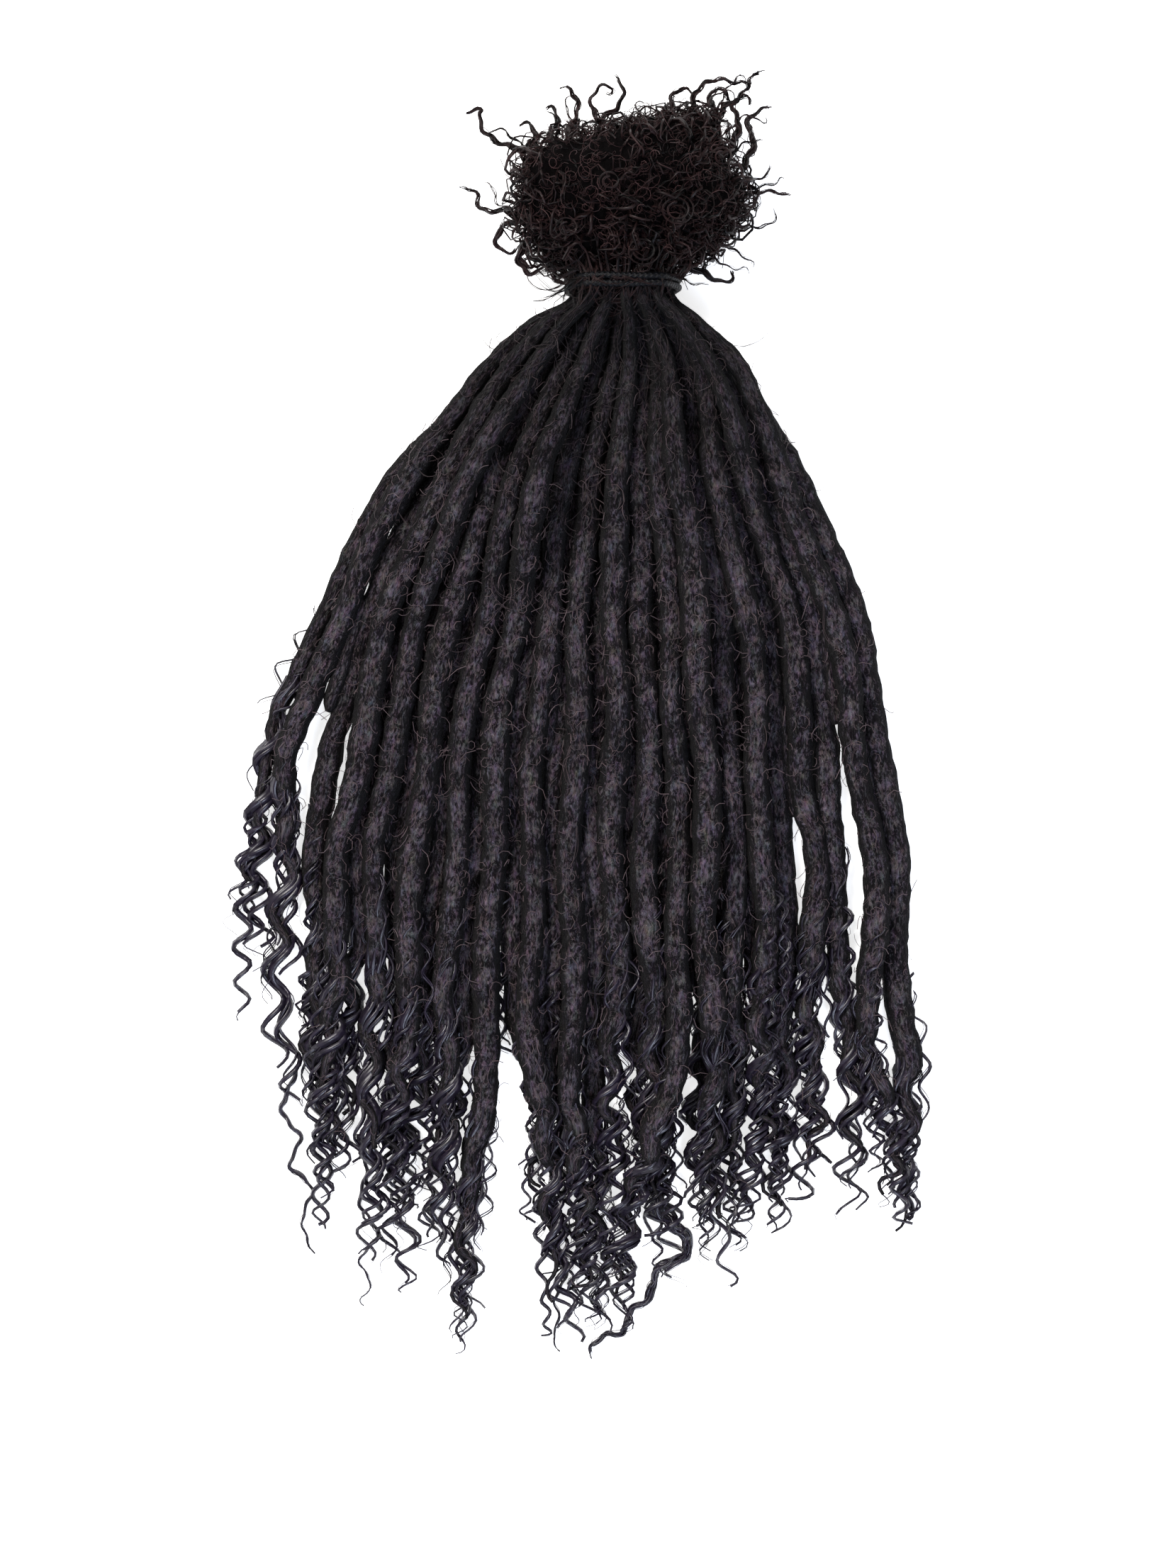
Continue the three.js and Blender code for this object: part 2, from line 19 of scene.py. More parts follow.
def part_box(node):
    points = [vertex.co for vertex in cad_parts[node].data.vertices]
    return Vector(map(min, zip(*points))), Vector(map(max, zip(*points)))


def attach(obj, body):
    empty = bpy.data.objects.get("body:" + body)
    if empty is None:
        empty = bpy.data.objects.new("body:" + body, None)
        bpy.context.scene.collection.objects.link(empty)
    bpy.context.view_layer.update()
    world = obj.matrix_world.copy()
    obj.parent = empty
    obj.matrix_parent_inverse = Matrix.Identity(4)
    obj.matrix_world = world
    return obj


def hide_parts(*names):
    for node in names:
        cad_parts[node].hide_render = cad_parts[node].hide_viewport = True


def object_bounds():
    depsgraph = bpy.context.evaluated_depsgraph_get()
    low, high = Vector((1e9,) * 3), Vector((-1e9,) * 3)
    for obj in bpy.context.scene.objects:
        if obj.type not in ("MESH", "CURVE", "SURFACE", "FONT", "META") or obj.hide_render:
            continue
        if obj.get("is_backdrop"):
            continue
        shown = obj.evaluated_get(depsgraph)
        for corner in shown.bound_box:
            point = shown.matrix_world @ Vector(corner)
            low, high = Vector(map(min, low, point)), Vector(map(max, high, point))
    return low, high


MM = 0.001
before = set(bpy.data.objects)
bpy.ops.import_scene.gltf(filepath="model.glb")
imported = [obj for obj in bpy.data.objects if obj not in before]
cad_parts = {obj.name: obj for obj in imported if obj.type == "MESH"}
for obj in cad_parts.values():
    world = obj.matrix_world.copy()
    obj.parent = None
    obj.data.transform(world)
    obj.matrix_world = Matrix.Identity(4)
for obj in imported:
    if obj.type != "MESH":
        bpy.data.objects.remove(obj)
cad_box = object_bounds()
LOC_NAMES = sorted(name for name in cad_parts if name.startswith("loc_"))
low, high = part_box("tie_elastic")
NECK = (low + high) / 2
print(f"{len(LOC_NAMES)} locs, gathered at {[round(c / MM, 1) for c in NECK]} mm")

# %% [markdown]
# The photograph
# The bundle was photographed from straight above with a long lens, so that hardly any side of
# a loc shows. A camera is placed over the fan, a little left of the elastic and below it, and
# left unturned: it then looks down, with the puff at the top of the picture. A function turns
# a pixel of the photograph into the place, at a given height, that the camera sees there.

# %% The camera
PHOTO_LENS = 85
PHOTO_SENSOR = 36
PHOTO_WIDTH = 1659
PHOTO_HEIGHT = 2212
VIEW_ASIDE = -10.7 * MM
VIEW_BELOW_NECK = 153 * MM
VIEW_HEIGHT = 1149 * MM
NEAREST_SEEN = 10 * MM

camera_data = bpy.data.cameras.new("overhead_camera")
camera_data.lens = PHOTO_LENS
camera_data.sensor_width = PHOTO_SENSOR
camera_data.clip_start = NEAREST_SEEN
camera = bpy.data.objects.new("overhead_camera", camera_data)
camera.location = (NECK.x + VIEW_ASIDE, NECK.y - VIEW_BELOW_NECK, VIEW_HEIGHT)
bpy.context.scene.collection.objects.link(camera)
bpy.context.scene.camera = camera


def photo_place(x, y, height):
    """The point at a height above the table that shows at a pixel of the photograph."""
    scale = (VIEW_HEIGHT - height) * PHOTO_SENSOR / (PHOTO_LENS * PHOTO_HEIGHT)
    right = (x - PHOTO_WIDTH / 2) * scale
    up = (PHOTO_HEIGHT / 2 - y) * scale
    return np.array([camera.location.x + right, camera.location.y + up, height])


middle = photo_place(PHOTO_WIDTH / 2, PHOTO_HEIGHT / 2, 0) / MM
print(f"camera {VIEW_HEIGHT / MM:.0f} mm above the table, over {middle.round(1)} mm")

# %% [markdown]
# The light and the table
# The picture is high-key: the white table burns out and the hair has almost no shadow. A white
# room and a table that glows a little do that, and one large soft lamp from above and to the
# left gives the locs their rounded look. A cooler lamp beyond the tips draws the blue gloss in
# the curls. The table is a white laminate: matt, smooth and without a pattern. The colour of
# every material is written as an sRGB hex value, and one function turns it into the linear
# colour that Blender works in.

# %% Lamps in a white room
LAMPS = [
    {"name": "window", "place": (-0.75, 0.75, 1.25), "size": 0.7, "power": 36, "tint": (1, 0.97, 0.94)},
    {"name": "sky", "place": (0.45, -1.0, 1.1), "size": 0.6, "power": 17, "tint": (0.72, 0.8, 1)},
]
ROOM_LIGHT = 0.5
ROOM_TINT = (0.97, 0.98, 1, 1)

for row in LAMPS:
    lamp_data = bpy.data.lights.new(row["name"], "AREA")
    lamp_data.energy = row["power"]
    lamp_data.size = row["size"]
    lamp_data.color = row["tint"]
    lamp = bpy.data.objects.new(row["name"], lamp_data)
    lamp.location = row["place"]
    lamp.rotation_euler = (-Vector(row["place"])).to_track_quat("-Z", "Y").to_euler()
    bpy.context.scene.collection.objects.link(lamp)

room = bpy.data.worlds.new("white_room")
room.use_nodes = True
room.node_tree.nodes["Background"].inputs["Color"].default_value = ROOM_TINT
room.node_tree.nodes["Background"].inputs["Strength"].default_value = ROOM_LIGHT
bpy.context.scene.world = room
bpy.context.scene.view_settings.view_transform = "Standard"
print(f"{len(LAMPS)} lamps in a white room")

# %% A white table
TABLE_SIZE = 6.0
TABLE_WHITE = "#efefef"
TABLE_ROUGHNESS = 0.7
TABLE_GLOW = 0.7  # stands for the exposure, which burns the table out, shadows and all


def linear(hex_colour):
    """An sRGB hex colour as the linear colour that nodes work in."""
    channels = [int(hex_colour[k : k + 2], 16) / 255 for k in (1, 3, 5)]
    return (*[c / 12.92 if c < 0.04045 else ((c + 0.055) / 1.055) ** 2.4 for c in channels], 1)


table_mesh = bpy.data.meshes.new("table_top")
reach = TABLE_SIZE / 2
corners = [(-reach, -reach, 0), (reach, -reach, 0), (reach, reach, 0), (-reach, reach, 0)]
table_mesh.from_pydata(corners, [], [(0, 1, 2, 3)])
table_top = bpy.data.objects.new("table_top", table_mesh)
bpy.context.scene.collection.objects.link(table_top)
laminate = bpy.data.materials.new("white_laminate")
laminate.use_nodes = True
laminate_shader = laminate.node_tree.nodes["Principled BSDF"]
laminate_shader.inputs["Base Color"].default_value = linear(TABLE_WHITE)
laminate_shader.inputs["Roughness"].default_value = TABLE_ROUGHNESS
laminate_shader.inputs["Emission Color"].default_value = (1, 1, 1, 1)
laminate_shader.inputs["Emission Strength"].default_value = TABLE_GLOW
table_mesh.materials.append(laminate)
table_top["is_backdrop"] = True
print(f"a table {TABLE_SIZE} m wide, of {laminate.name}")

# %% [markdown]
# A helper for nodes
# Materials and Geometry Nodes are both made of nodes. One function adds a node, gives it its
# settings, and fills its inputs with values or with links from other nodes. An input is given
# by its name, or by its number where two share a name.

# %% Add a node
def add_node(tree, kind, inputs=None, **settings):
    """Adds a node to a tree. A socket as an input is linked, and anything else is its value."""
    node = tree.nodes.new(kind)
    for setting, value in settings.items():
        setattr(node, setting, value)
    for key, value in (inputs or {}).items():
        if isinstance(value, bpy.types.NodeSocket):
            tree.links.new(value, node.inputs[key])
        else:
            node.inputs[key].default_value = value
    return node


# %% [markdown]
# Felted hair
# A loc's body is human hair that was hooked into itself until it held as a cord. It gives the
# eye a matt, mottled charcoal with single curled hairs that lie on it, and its colour is painted
# lighter on the tops that face up and near black on the sides and in the dips: painted light and
# painted shade. Tops, dips and a place that is straightened out along the loc come from
# attributes that the felting step stores, so the pattern follows the loc round its bends. Near
# the elastic the locs are darker, because they lie in the puff's shade.
# The curled hairs are contour lines of a smooth noise, which wander and close like loose
# hairs do. A real hair is 0.08 mm thick and would not show, so they are drawn 0.3 mm wide.

# %% What the hair materials share
SHOULDER_SHADE = 0.2  # how much of its colour a loc has at the elastic
SHOULDER_LENGTH = 105  # mm below the elastic, where the loc has its full colour


def start_material(name):
    """A new material's tree, its surface shader and the object coordinates in millimetres."""
    material = bpy.data.materials.new(name)
    material.use_nodes = True
    tree = material.node_tree
    shader = tree.nodes["Principled BSDF"]
    place = add_node(tree, "ShaderNodeTexCoord").outputs["Object"]
    millimetres = add_node(
        tree, "ShaderNodeVectorMath", {0: place, "Scale": 1 / MM}, operation="SCALE"
    ).outputs["Vector"]
    return material, tree, shader, millimetres


def shaded_at_shoulder(tree, colour):
    """The colour, darker near the elastic, where the locs lie in the puff's shade."""
    depth = add_node(
        tree, "ShaderNodeAttribute", attribute_type="GEOMETRY", attribute_name="depth"
    ).outputs["Fac"]
    shade = add_node(
        tree,
        "ShaderNodeMapRange",
        {"Value": depth, "From Max": SHOULDER_LENGTH * MM, "To Min": SHOULDER_SHADE},
    ).outputs["Result"]
    return add_node(
        tree, "ShaderNodeVectorMath", {0: colour, "Scale": shade}, operation="SCALE"
    ).outputs["Vector"]


print(f"locs have their full colour {SHOULDER_LENGTH} mm below the elastic")

# %% Felted hair material
FELT_DARK = "#020102"
FELT_MID = "#110e11"
# The lightest felt colour, of pale tufts and of the painted light on tops that face up.
FELT_PALE_AND_LIT = "#675e66"
FELT_STOPS = {"dark": 0.3, "mid": 0.55, "brushed": 0.82}
FELT_ROUGHNESS = 0.85
COMBED_OUT = (1, 1, 0.45)  # the hair runs more along the loc than round it
TUFTS_A_MM = 1.1
CURLS_A_MM = 0.3
CURL_CONTOURS = 46.0  # how close the contour lines lie
PATCHES_A_MM = 0.5
PATCH_SHARE = 0.55
HAIR_BUMP = 0.3  # of the height of a tuft
BUMP_HEIGHT = 1.4 * MM
# How much each pattern adds to the lightness of the felt. The lit tops are painted light on the
# tops that face up and painted shade on the sides, and the felt's height paints the dips darker.
TUFT_LIGHT = 1.15
PAINTED_TOP_LIGHT = 0.4
HEIGHT_LIGHT = 0.26
HAIR_LIGHT = 0.12


def felted_hair():
    material, tree, shader, _ = start_material("felted_human_hair")
    marks = {}
    for name, output in (
        ("felt_height", "Fac"),
        ("brushed", "Fac"),
        ("hair_place", "Vector"),
    ):
        marks[name] = add_node(
            tree, "ShaderNodeAttribute", attribute_type="GEOMETRY", attribute_name=name
        ).outputs[output]
    combed = add_node(
        tree, "ShaderNodeMapping", {"Vector": marks["hair_place"], "Scale": COMBED_OUT}
    ).outputs["Vector"]
    mottle = add_node(
        tree,
        "ShaderNodeTexNoise",
        {"Vector": combed, "Scale": TUFTS_A_MM, "Detail": 6.0, "Roughness": 0.7, "Distortion": 0.3},
    ).outputs["Fac"]
    curl = add_node(
        tree,
        "ShaderNodeTexNoise",
        {"Vector": combed, "Scale": CURLS_A_MM, "Detail": 2.0, "Roughness": 0.5, "Distortion": 1.4},
    ).outputs["Fac"]
    rings = add_node(
        tree, "ShaderNodeMath", {0: curl, 1: CURL_CONTOURS}, operation="MULTIPLY"
    ).outputs[0]
    wave = add_node(tree, "ShaderNodeMath", {0: rings}, operation="SINE").outputs[0]
    hairs = add_node(
        tree,
        "ShaderNodeMapRange",
        {"Value": wave, "From Min": 0.5, "From Max": 1.0, "To Min": 0.0, "To Max": 1.0},
        interpolation_type="SMOOTHSTEP",
    ).outputs["Result"]
    relief = 0.0
    # The felt's own mottle and curled hairs, with painted light on the tops that face up and painted shade
    # in the dips and on the sides.
    for part, share in (
        (mottle, TUFT_LIGHT),
        (marks["brushed"], PAINTED_TOP_LIGHT),
        (marks["felt_height"], HEIGHT_LIGHT),
        (hairs, HAIR_LIGHT),
    ):
        relief = add_node(
            tree, "ShaderNodeMath", {0: part, 1: share, 2: relief}, operation="MULTIPLY_ADD"
        ).outputs[0]
    relief = add_node(
        tree, "ShaderNodeMapRange", {"Value": relief, "From Min": 0.3, "From Max": 1.65}
    ).outputs["Result"]
    ramp = add_node(tree, "ShaderNodeValToRGB", {"Fac": relief})
    stops = ramp.color_ramp.elements
    stops[0].position = FELT_STOPS["dark"]
    stops[0].color = linear(FELT_DARK)
    stops[1].position = FELT_STOPS["brushed"]
    stops[1].color = linear(FELT_PALE_AND_LIT)
    stops.new(FELT_STOPS["mid"]).color = linear(FELT_MID)
    patch = add_node(
        tree,
        "ShaderNodeTexNoise",
        {"Vector": combed, "Scale": PATCHES_A_MM, "Detail": 3.0, "Roughness": 0.8},
    ).outputs["Color"]
    # The patches are colours round a middle grey, so that twice the mix leaves the mean as it is.
    tint = add_node(
        tree,
        "ShaderNodeMix",
        {"Factor": PATCH_SHARE, 6: (0.5, 0.5, 0.5, 1), 7: patch},
        data_type="RGBA",
    ).outputs[2]
    tint = add_node(
        tree, "ShaderNodeVectorMath", {0: tint, "Scale": 2.0}, operation="SCALE"
    ).outputs["Vector"]
    colour = add_node(
        tree, "ShaderNodeVectorMath", {0: ramp.outputs["Color"], 1: tint}, operation="MULTIPLY"
    ).outputs["Vector"]
    tree.links.new(shaded_at_shoulder(tree, colour), shader.inputs["Base Color"])
    bump_height = add_node(
        tree, "ShaderNodeMath", {0: hairs, 1: HAIR_BUMP, 2: mottle}, operation="MULTIPLY_ADD"
    ).outputs[0]
    bump = add_node(
        tree, "ShaderNodeBump", {"Strength": 1.0, "Distance": BUMP_HEIGHT, "Height": bump_height}
    )
    tree.links.new(bump.outputs["Normal"], shader.inputs["Normal"])
    shader.inputs["Roughness"].default_value = FELT_ROUGHNESS
    shader.inputs["Specular IOR Level"].default_value = 0.05
    shader.inputs["Sheen Weight"].default_value = 0.03
    shader.inputs["Sheen Roughness"].default_value = 0.4
    return material


FELTED_HAIR = felted_hair()
print(f"{FELTED_HAIR.name}: {len(FELTED_HAIR.node_tree.nodes)} nodes")

# %% [markdown]
# Loose hair
# The curled ends and the root hair are single hairs again. Hair is keratin, with an IOR of
# 1.55, and its flat scales make it glossy: black in the shade, with a thin highlight along
# each strand. The ends have been dyed blue-black and shine violet, and the root hair is the
# natural brown-black. Each strand carries a tone of its own, so neighbours differ a little,
# and a noise over the whole piece makes light and dark patches of them.

# %% Loose hair materials
KERATIN_IOR = 1.55
PATCH_LIGHT = 1.1  # how much the patches add to the lightness of a strand
TONE_LIGHT = 0.8  # and how much its own tone adds
LOOSE_HAIR = {
    "dyed_wavy_hair": {
        "dark": "#030204", "light": "#2c2534", "bias": -0.48, "patch": 0.35, "rough": 0.32,
        "specular": 0.33,
    },
    "natural_root_hair": {
        "dark": "#010101", "light": "#3c2a2a", "bias": -0.72, "patch": 0.12, "rough": 0.36,
        "specular": 0.12,
    },
    "flyaway_hair": {
        "dark": "#0a0808", "light": "#54474a", "bias": -0.42, "patch": 0.35, "rough": 0.5,
        "specular": 0.2,
    },
}


def loose_hair(name):
    look = LOOSE_HAIR[name]
    material, tree, shader, place = start_material(name)
    tone = add_node(
        tree, "ShaderNodeAttribute", attribute_type="GEOMETRY", attribute_name="strand_tone"
    ).outputs["Fac"]
    streak = add_node(
        tree, "ShaderNodeTexNoise", {"Vector": place, "Scale": look["patch"], "Detail": 3.0}
    ).outputs["Fac"]
    shade = add_node(
        tree, "ShaderNodeMath", {0: streak, 1: PATCH_LIGHT, 2: look["bias"]}, operation="MULTIPLY_ADD"
    ).outputs[0]
    shade = add_node(
        tree,
        "ShaderNodeMath",
        {0: tone, 1: TONE_LIGHT, 2: shade},
        operation="MULTIPLY_ADD",
        use_clamp=True,
    ).outputs[0]
    colour = add_node(
        tree,
        "ShaderNodeMix",
        {"Factor": shade, 6: linear(look["dark"]), 7: linear(look["light"])},
        data_type="RGBA",
    ).outputs[2]
    if name == "flyaway_hair":
        colour = shaded_at_shoulder(tree, colour)
    tree.links.new(colour, shader.inputs["Base Color"])
    shader.inputs["IOR"].default_value = KERATIN_IOR
    shader.inputs["Roughness"].default_value = look["rough"]
    shader.inputs["Specular IOR Level"].default_value = look["specular"]
    return material


WAVY_HAIR = loose_hair("dyed_wavy_hair")
ROOT_HAIR = loose_hair("natural_root_hair")
FLYAWAY_HAIR = loose_hair("flyaway_hair")
print("loose hair:", ", ".join(LOOSE_HAIR))

# %% Matted hair deep in the puff
MATTED_DARK = "#010101"
MATTED_LIGHT = "#0b0708"
TANGLES_A_MM = 0.8
TANGLE_BUMP = 1.2 * MM


def matted_hair():
    """Hair seen from so far into a ball of curls that no single strand can be told."""
    material, tree, shader, place = start_material("matted_root_hair")
    tangle = add_node(
        tree,
        "ShaderNodeTexNoise",
        {"Vector": place, "Scale": TANGLES_A_MM, "Detail": 5.0, "Roughness": 0.7, "Distortion": 1.2},
    ).outputs["Fac"]
    colour = add_node(
        tree,
        "ShaderNodeMix",
        {"Factor": tangle, 6: linear(MATTED_DARK), 7: linear(MATTED_LIGHT)},
        data_type="RGBA",
    ).outputs[2]
    tree.links.new(colour, shader.inputs["Base Color"])
    bump = add_node(
        tree, "ShaderNodeBump", {"Strength": 1.0, "Distance": TANGLE_BUMP, "Height": tangle}
    )
    tree.links.new(bump.outputs["Normal"], shader.inputs["Normal"])
    shader.inputs["Roughness"].default_value = 0.9
    shader.inputs["Specular IOR Level"].default_value = 0.05
    return material


MATTED_HAIR = matted_hair()
print(f"{MATTED_HAIR.name}: {len(MATTED_HAIR.node_tree.nodes)} nodes")

# %% [markdown]
# Reading a loc from its solid
# Every loc solid is a row of flat sections, each at one depth below the elastic. The mean of a
# section's corners is the loc's centre there, and the spread of the corners gives its width
# and height. The body's sections have more corners than those of the curl, which tells where
# the felt ends. A smooth curve through the sections is the line that the hair will follow.
# In a few places the table shows between two locs, and there the lines are moved apart.

# %% Sections of a loc
RING_SPACING = {"upper": 1.6 * MM, "lower": 2.1 * MM}  # the lower layer is mostly covered
PARTING_HEIGHT = 6 * MM
PARTING_REACH = 12 * MM
PARTINGS = [
    {"top": (1138, 1130), "bottom": (1156, 1310), "width": 2.6},
    {"top": (1182, 1030), "bottom": (1216, 1370), "width": 3.4},
    {"top": (1228, 1330), "bottom": (1252, 1590), "width": 2.6},
    {"top": (452, 1000), "bottom": (420, 1190), "width": 2.6},
    {"top": (402, 1040), "bottom": (398, 1270), "width": 1.4},
    {"top": (494, 990), "bottom": (474, 1190), "width": 1.8},
    {"top": (720, 1450), "bottom": (690, 1700), "width": 1.4},
]


def read_loc(name):
    """Rows of x, y, z, half width and half height from neck to tip, and the y where felt ends."""
    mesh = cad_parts[name].data
    points = np.empty(3 * len(mesh.vertices))
    mesh.vertices.foreach_get("co", points)
    points = np.unique(np.round(points.reshape(-1, 3), 7), axis=0)
    depths = np.round(points[:, 1], 5)
    rows = []
    corner_counts = []
    for depth in np.unique(depths)[::-1]:
        ring = points[depths == depth]
        corner_counts.append(len(ring))
        spread = np.sqrt(2 * ring.var(axis=0))
        rows.append((*ring.mean(axis=0), spread[0], spread[2]))
    rows = np.array(rows)
    felt_rows = [k for k, count in enumerate(corner_counts) if count >= max(corner_counts) - 1]
    return rows, rows[felt_rows[-1], 1]


def along(points):
    """Distance along a line of points."""
    steps = np.linalg.norm(np.diff(points, axis=0), axis=1)
    return np.concatenate([[0], np.cumsum(steps)])


def curve_through(places, rows, at):
    """The rows of a table at other places, on a smooth curve through them."""
    slopes = np.gradient(rows, places, axis=0)
    k = np.clip(np.searchsorted(places, at, side="right") - 1, 0, len(places) - 2)
    run = (places[k + 1] - places[k])[:, None]
    t = (at - places[k])[:, None] / run
    ahead = t * t * (3 - 2 * t)
    return (
        rows[k] * (1 - ahead)
        + rows[k + 1] * ahead
        + run * t * (1 - t) * ((1 - t) * slopes[k] - t * slopes[k + 1])
    )


def ease(start, end, value):
    """Rises smoothly from 0 at the start to 1 at the end."""
    t = np.clip((value - start) / (end - start), 0, 1)
    return t * t * (3 - 2 * t)


def fine_line(name):
    """A loc as closely spaced rows, its distances from the neck, and where its felt ends."""
    rows, felt_y = read_loc(name)
    places = along(rows[:, :3])
    spacing = RING_SPACING[name.split("_")[1]]
    at = np.linspace(0, places[-1], int(places[-1] / spacing) + 1)
    felt_end = np.interp(-felt_y, -rows[:, 1], places)
    return curve_through(places, rows, at), at, felt_end


def moved_apart(rows):
    """The rows of a loc, moved aside where the photograph shows the table between two locs."""
    rows = rows.copy()
    for gap in PARTINGS:
        start, end = (photo_place(*gap[key], PARTING_HEIGHT) for key in ("top", "bottom"))
        t = (rows[:, 1] - start[1]) / (end[1] - start[1])
        inside = (t > 0) & (t < 1)
        away = rows[:, 0] - start[0] - (end[0] - start[0]) * t
        side = np.sign(np.mean(away[inside])) if inside.any() else 0
        near = np.exp(-np.abs(away) / PARTING_REACH)
        rows[:, 0] += side * gap["width"] * MM * near * np.where(inside, np.sin(math.pi * t), 0)
    return rows


LINES = {name: fine_line(name) for name in LOC_NAMES}
LINES = {name: (moved_apart(rows), at, felt_end) for name, (rows, at, felt_end) in LINES.items()}
longest = max(at[-1] for rows, at, felt_end in LINES.values())
print(f"longest loc {longest / MM:.0f} mm")

# %% [markdown]
# The beat of a loc
# The hair at the end of a loc is wavy, and all of it shares one beat, whose waves are a little
# uneven and grow shorter towards the tip. The end of the felt takes part in it as well. The
# beat is the phase of that wave at each distance from the neck.

# %% A beat for every loc
CURL_PITCH = 17 * MM
CURL_SWING = 3.1 * MM


def unevenness(s, size, rng):
    """Smooth chance values from -1 to 1 along a line, with a new one every so many metres."""
    count = int((s[-1] - s[0]) / size) + 4
    values = rng.uniform(-1, 1, count)
    at = (s - s[0]) / size
    k = at.astype(int)
    return values[k] + (values[k + 1] - values[k]) * ease(0, 1, at - k)


def beat_of(name):
    at, felt_end = LINES[name][1:]
    rng = np.random.default_rng(300 + LOC_NAMES.index(name))
    pitch = CURL_PITCH * rng.uniform(0.86, 1.12) * (1 + 0.22 * unevenness(at, 28 * MM, rng))
    pitch *= 1.05 - 0.25 * ease(felt_end, at[-1], at)
    return rng.uniform(0, math.tau) + np.cumsum(math.tau * (at[1] - at[0]) / pitch)


BEATS = {name: beat_of(name) for name in LOC_NAMES}
waves = [
    (beat[-1] - np.interp(LINES[name][2], LINES[name][1], beat)) / math.tau
    for name, beat in BEATS.items()
]
print(f"{min(waves):.1f} to {max(waves):.1f} waves below the felt")

# %% [markdown]
# From a line to a mesh
# Geometry Nodes reads its line from a mesh of points and edges. Whatever changes along the
# line, such as its girth, is stored on the points as a named attribute. A second helper runs
# the tree, turns the result into a plain mesh at the origin, and takes the modifier away.

# %% Lines in, plain mesh out
def line_object(name, lines, attributes):
    """An object with one run of edges for each line, and float or vector attributes by name."""
    mesh = bpy.data.meshes.new(name)
    points = np.concatenate(lines)
    counts = [len(line) for line in lines]
    starts = np.concatenate([[0], np.cumsum(counts)[:-1]])
    edges = np.concatenate([start + np.arange(n - 1) for start, n in zip(starts, counts)])
    mesh.vertices.add(len(points))
    mesh.vertices.foreach_set("co", points.ravel())
    mesh.edges.add(len(edges))
    mesh.edges.foreach_set("vertices", np.stack([edges, edges + 1], axis=1).ravel())
    for key, values in attributes.items():
        values = np.concatenate(values)
        kind, field = ("FLOAT", "value") if values.ndim == 1 else ("FLOAT_VECTOR", "vector")
        mesh.attributes.new(key, kind, "POINT").data.foreach_set(field, values.ravel())
    made = bpy.data.objects.new(name, mesh)
    bpy.context.scene.collection.objects.link(made)
    return made


def grow(source, tree, name, **inputs):
    """Runs a tree on an object, and gives the result as a new object with a plain mesh."""
    modifier = source.modifiers.new("grow", "NODES")
    modifier.node_group = tree
    sockets = {item.name: item for item in tree.interface.items_tree if item.in_out == "INPUT"}
    for key, value in inputs.items():
        modifier[sockets[key.replace("_", " ").capitalize()].identifier] = value
    source.update_tag()
    graph = bpy.context.evaluated_depsgraph_get()
    mesh = bpy.data.meshes.new_from_object(source.evaluated_get(graph))
    source.modifiers.remove(modifier)
    made = bpy.data.objects.new(name, mesh)
    mesh.name = name
    bpy.context.scene.collection.objects.link(made)
    return made


def triangles(made):
    """How many triangles a piece has."""
    return sum(len(polygon.vertices) - 2 for polygon in made.data.polygons)


def start_tree(name, **inputs):
    """A new tree with a mesh in, a mesh out and named inputs, and its two end nodes."""
    tree = bpy.data.node_groups.new(name, "GeometryNodeTree")
    tree.interface.new_socket("Geometry", in_out="INPUT", socket_type="NodeSocketGeometry")
    tree.interface.new_socket("Geometry", in_out="OUTPUT", socket_type="NodeSocketGeometry")
    for key, value in inputs.items():
        kind = "Int" if isinstance(value, int) else "Float"
        title = key.replace("_", " ").capitalize()
        socket = tree.interface.new_socket(title, in_out="INPUT", socket_type=f"NodeSocket{kind}")
        socket.default_value = value
    return tree, tree.nodes.new("NodeGroupInput").outputs, tree.nodes.new("NodeGroupOutput")


def end_tree(tree, output, geometry, material=None):
    """Ends a tree with real, smooth geometry, and its material unless it already has one."""
    real = add_node(tree, "GeometryNodeRealizeInstances", {"Geometry": geometry})
    smooth = add_node(tree, "GeometryNodeSetShadeSmooth", {"Geometry": real.outputs[0]})
    if material is not None:
        smooth = add_node(
            tree, "GeometryNodeSetMaterial", {"Geometry": smooth.outputs[0], "Material": material}
        )
    tree.links.new(smooth.outputs[0], output.inputs[0])


# %% [markdown]
# Hair that meets the table
# Curled hairs stand at chance angles, so some would reach through the table, where real
# ones are bent along it. The trees that grow hair share one step, which lifts what is below
# the table to just above it.

# %% Lay hair on the table
def laid_on_table(tree, geometry, lowest):
    """The geometry with no point of it lower than a height above the table."""
    place = add_node(tree, "GeometryNodeInputPosition").outputs[0]
    parts = add_node(tree, "ShaderNodeSeparateXYZ", {0: place})
    height = add_node(
        tree, "ShaderNodeMath", {0: parts.outputs["Z"], 1: lowest}, operation="MAXIMUM"
    ).outputs[0]
    above = add_node(
        tree,
        "ShaderNodeCombineXYZ",
        {"X": parts.outputs["X"], "Y": parts.outputs["Y"], "Z": height},
    ).outputs[0]
    return add_node(
        tree, "GeometryNodeSetPosition", {"Geometry": geometry, "Position": above}
    ).outputs[0]


LOWEST_SKIN = 0.05 * MM
print(f"nothing is lower than {LOWEST_SKIN / MM} mm above the table")
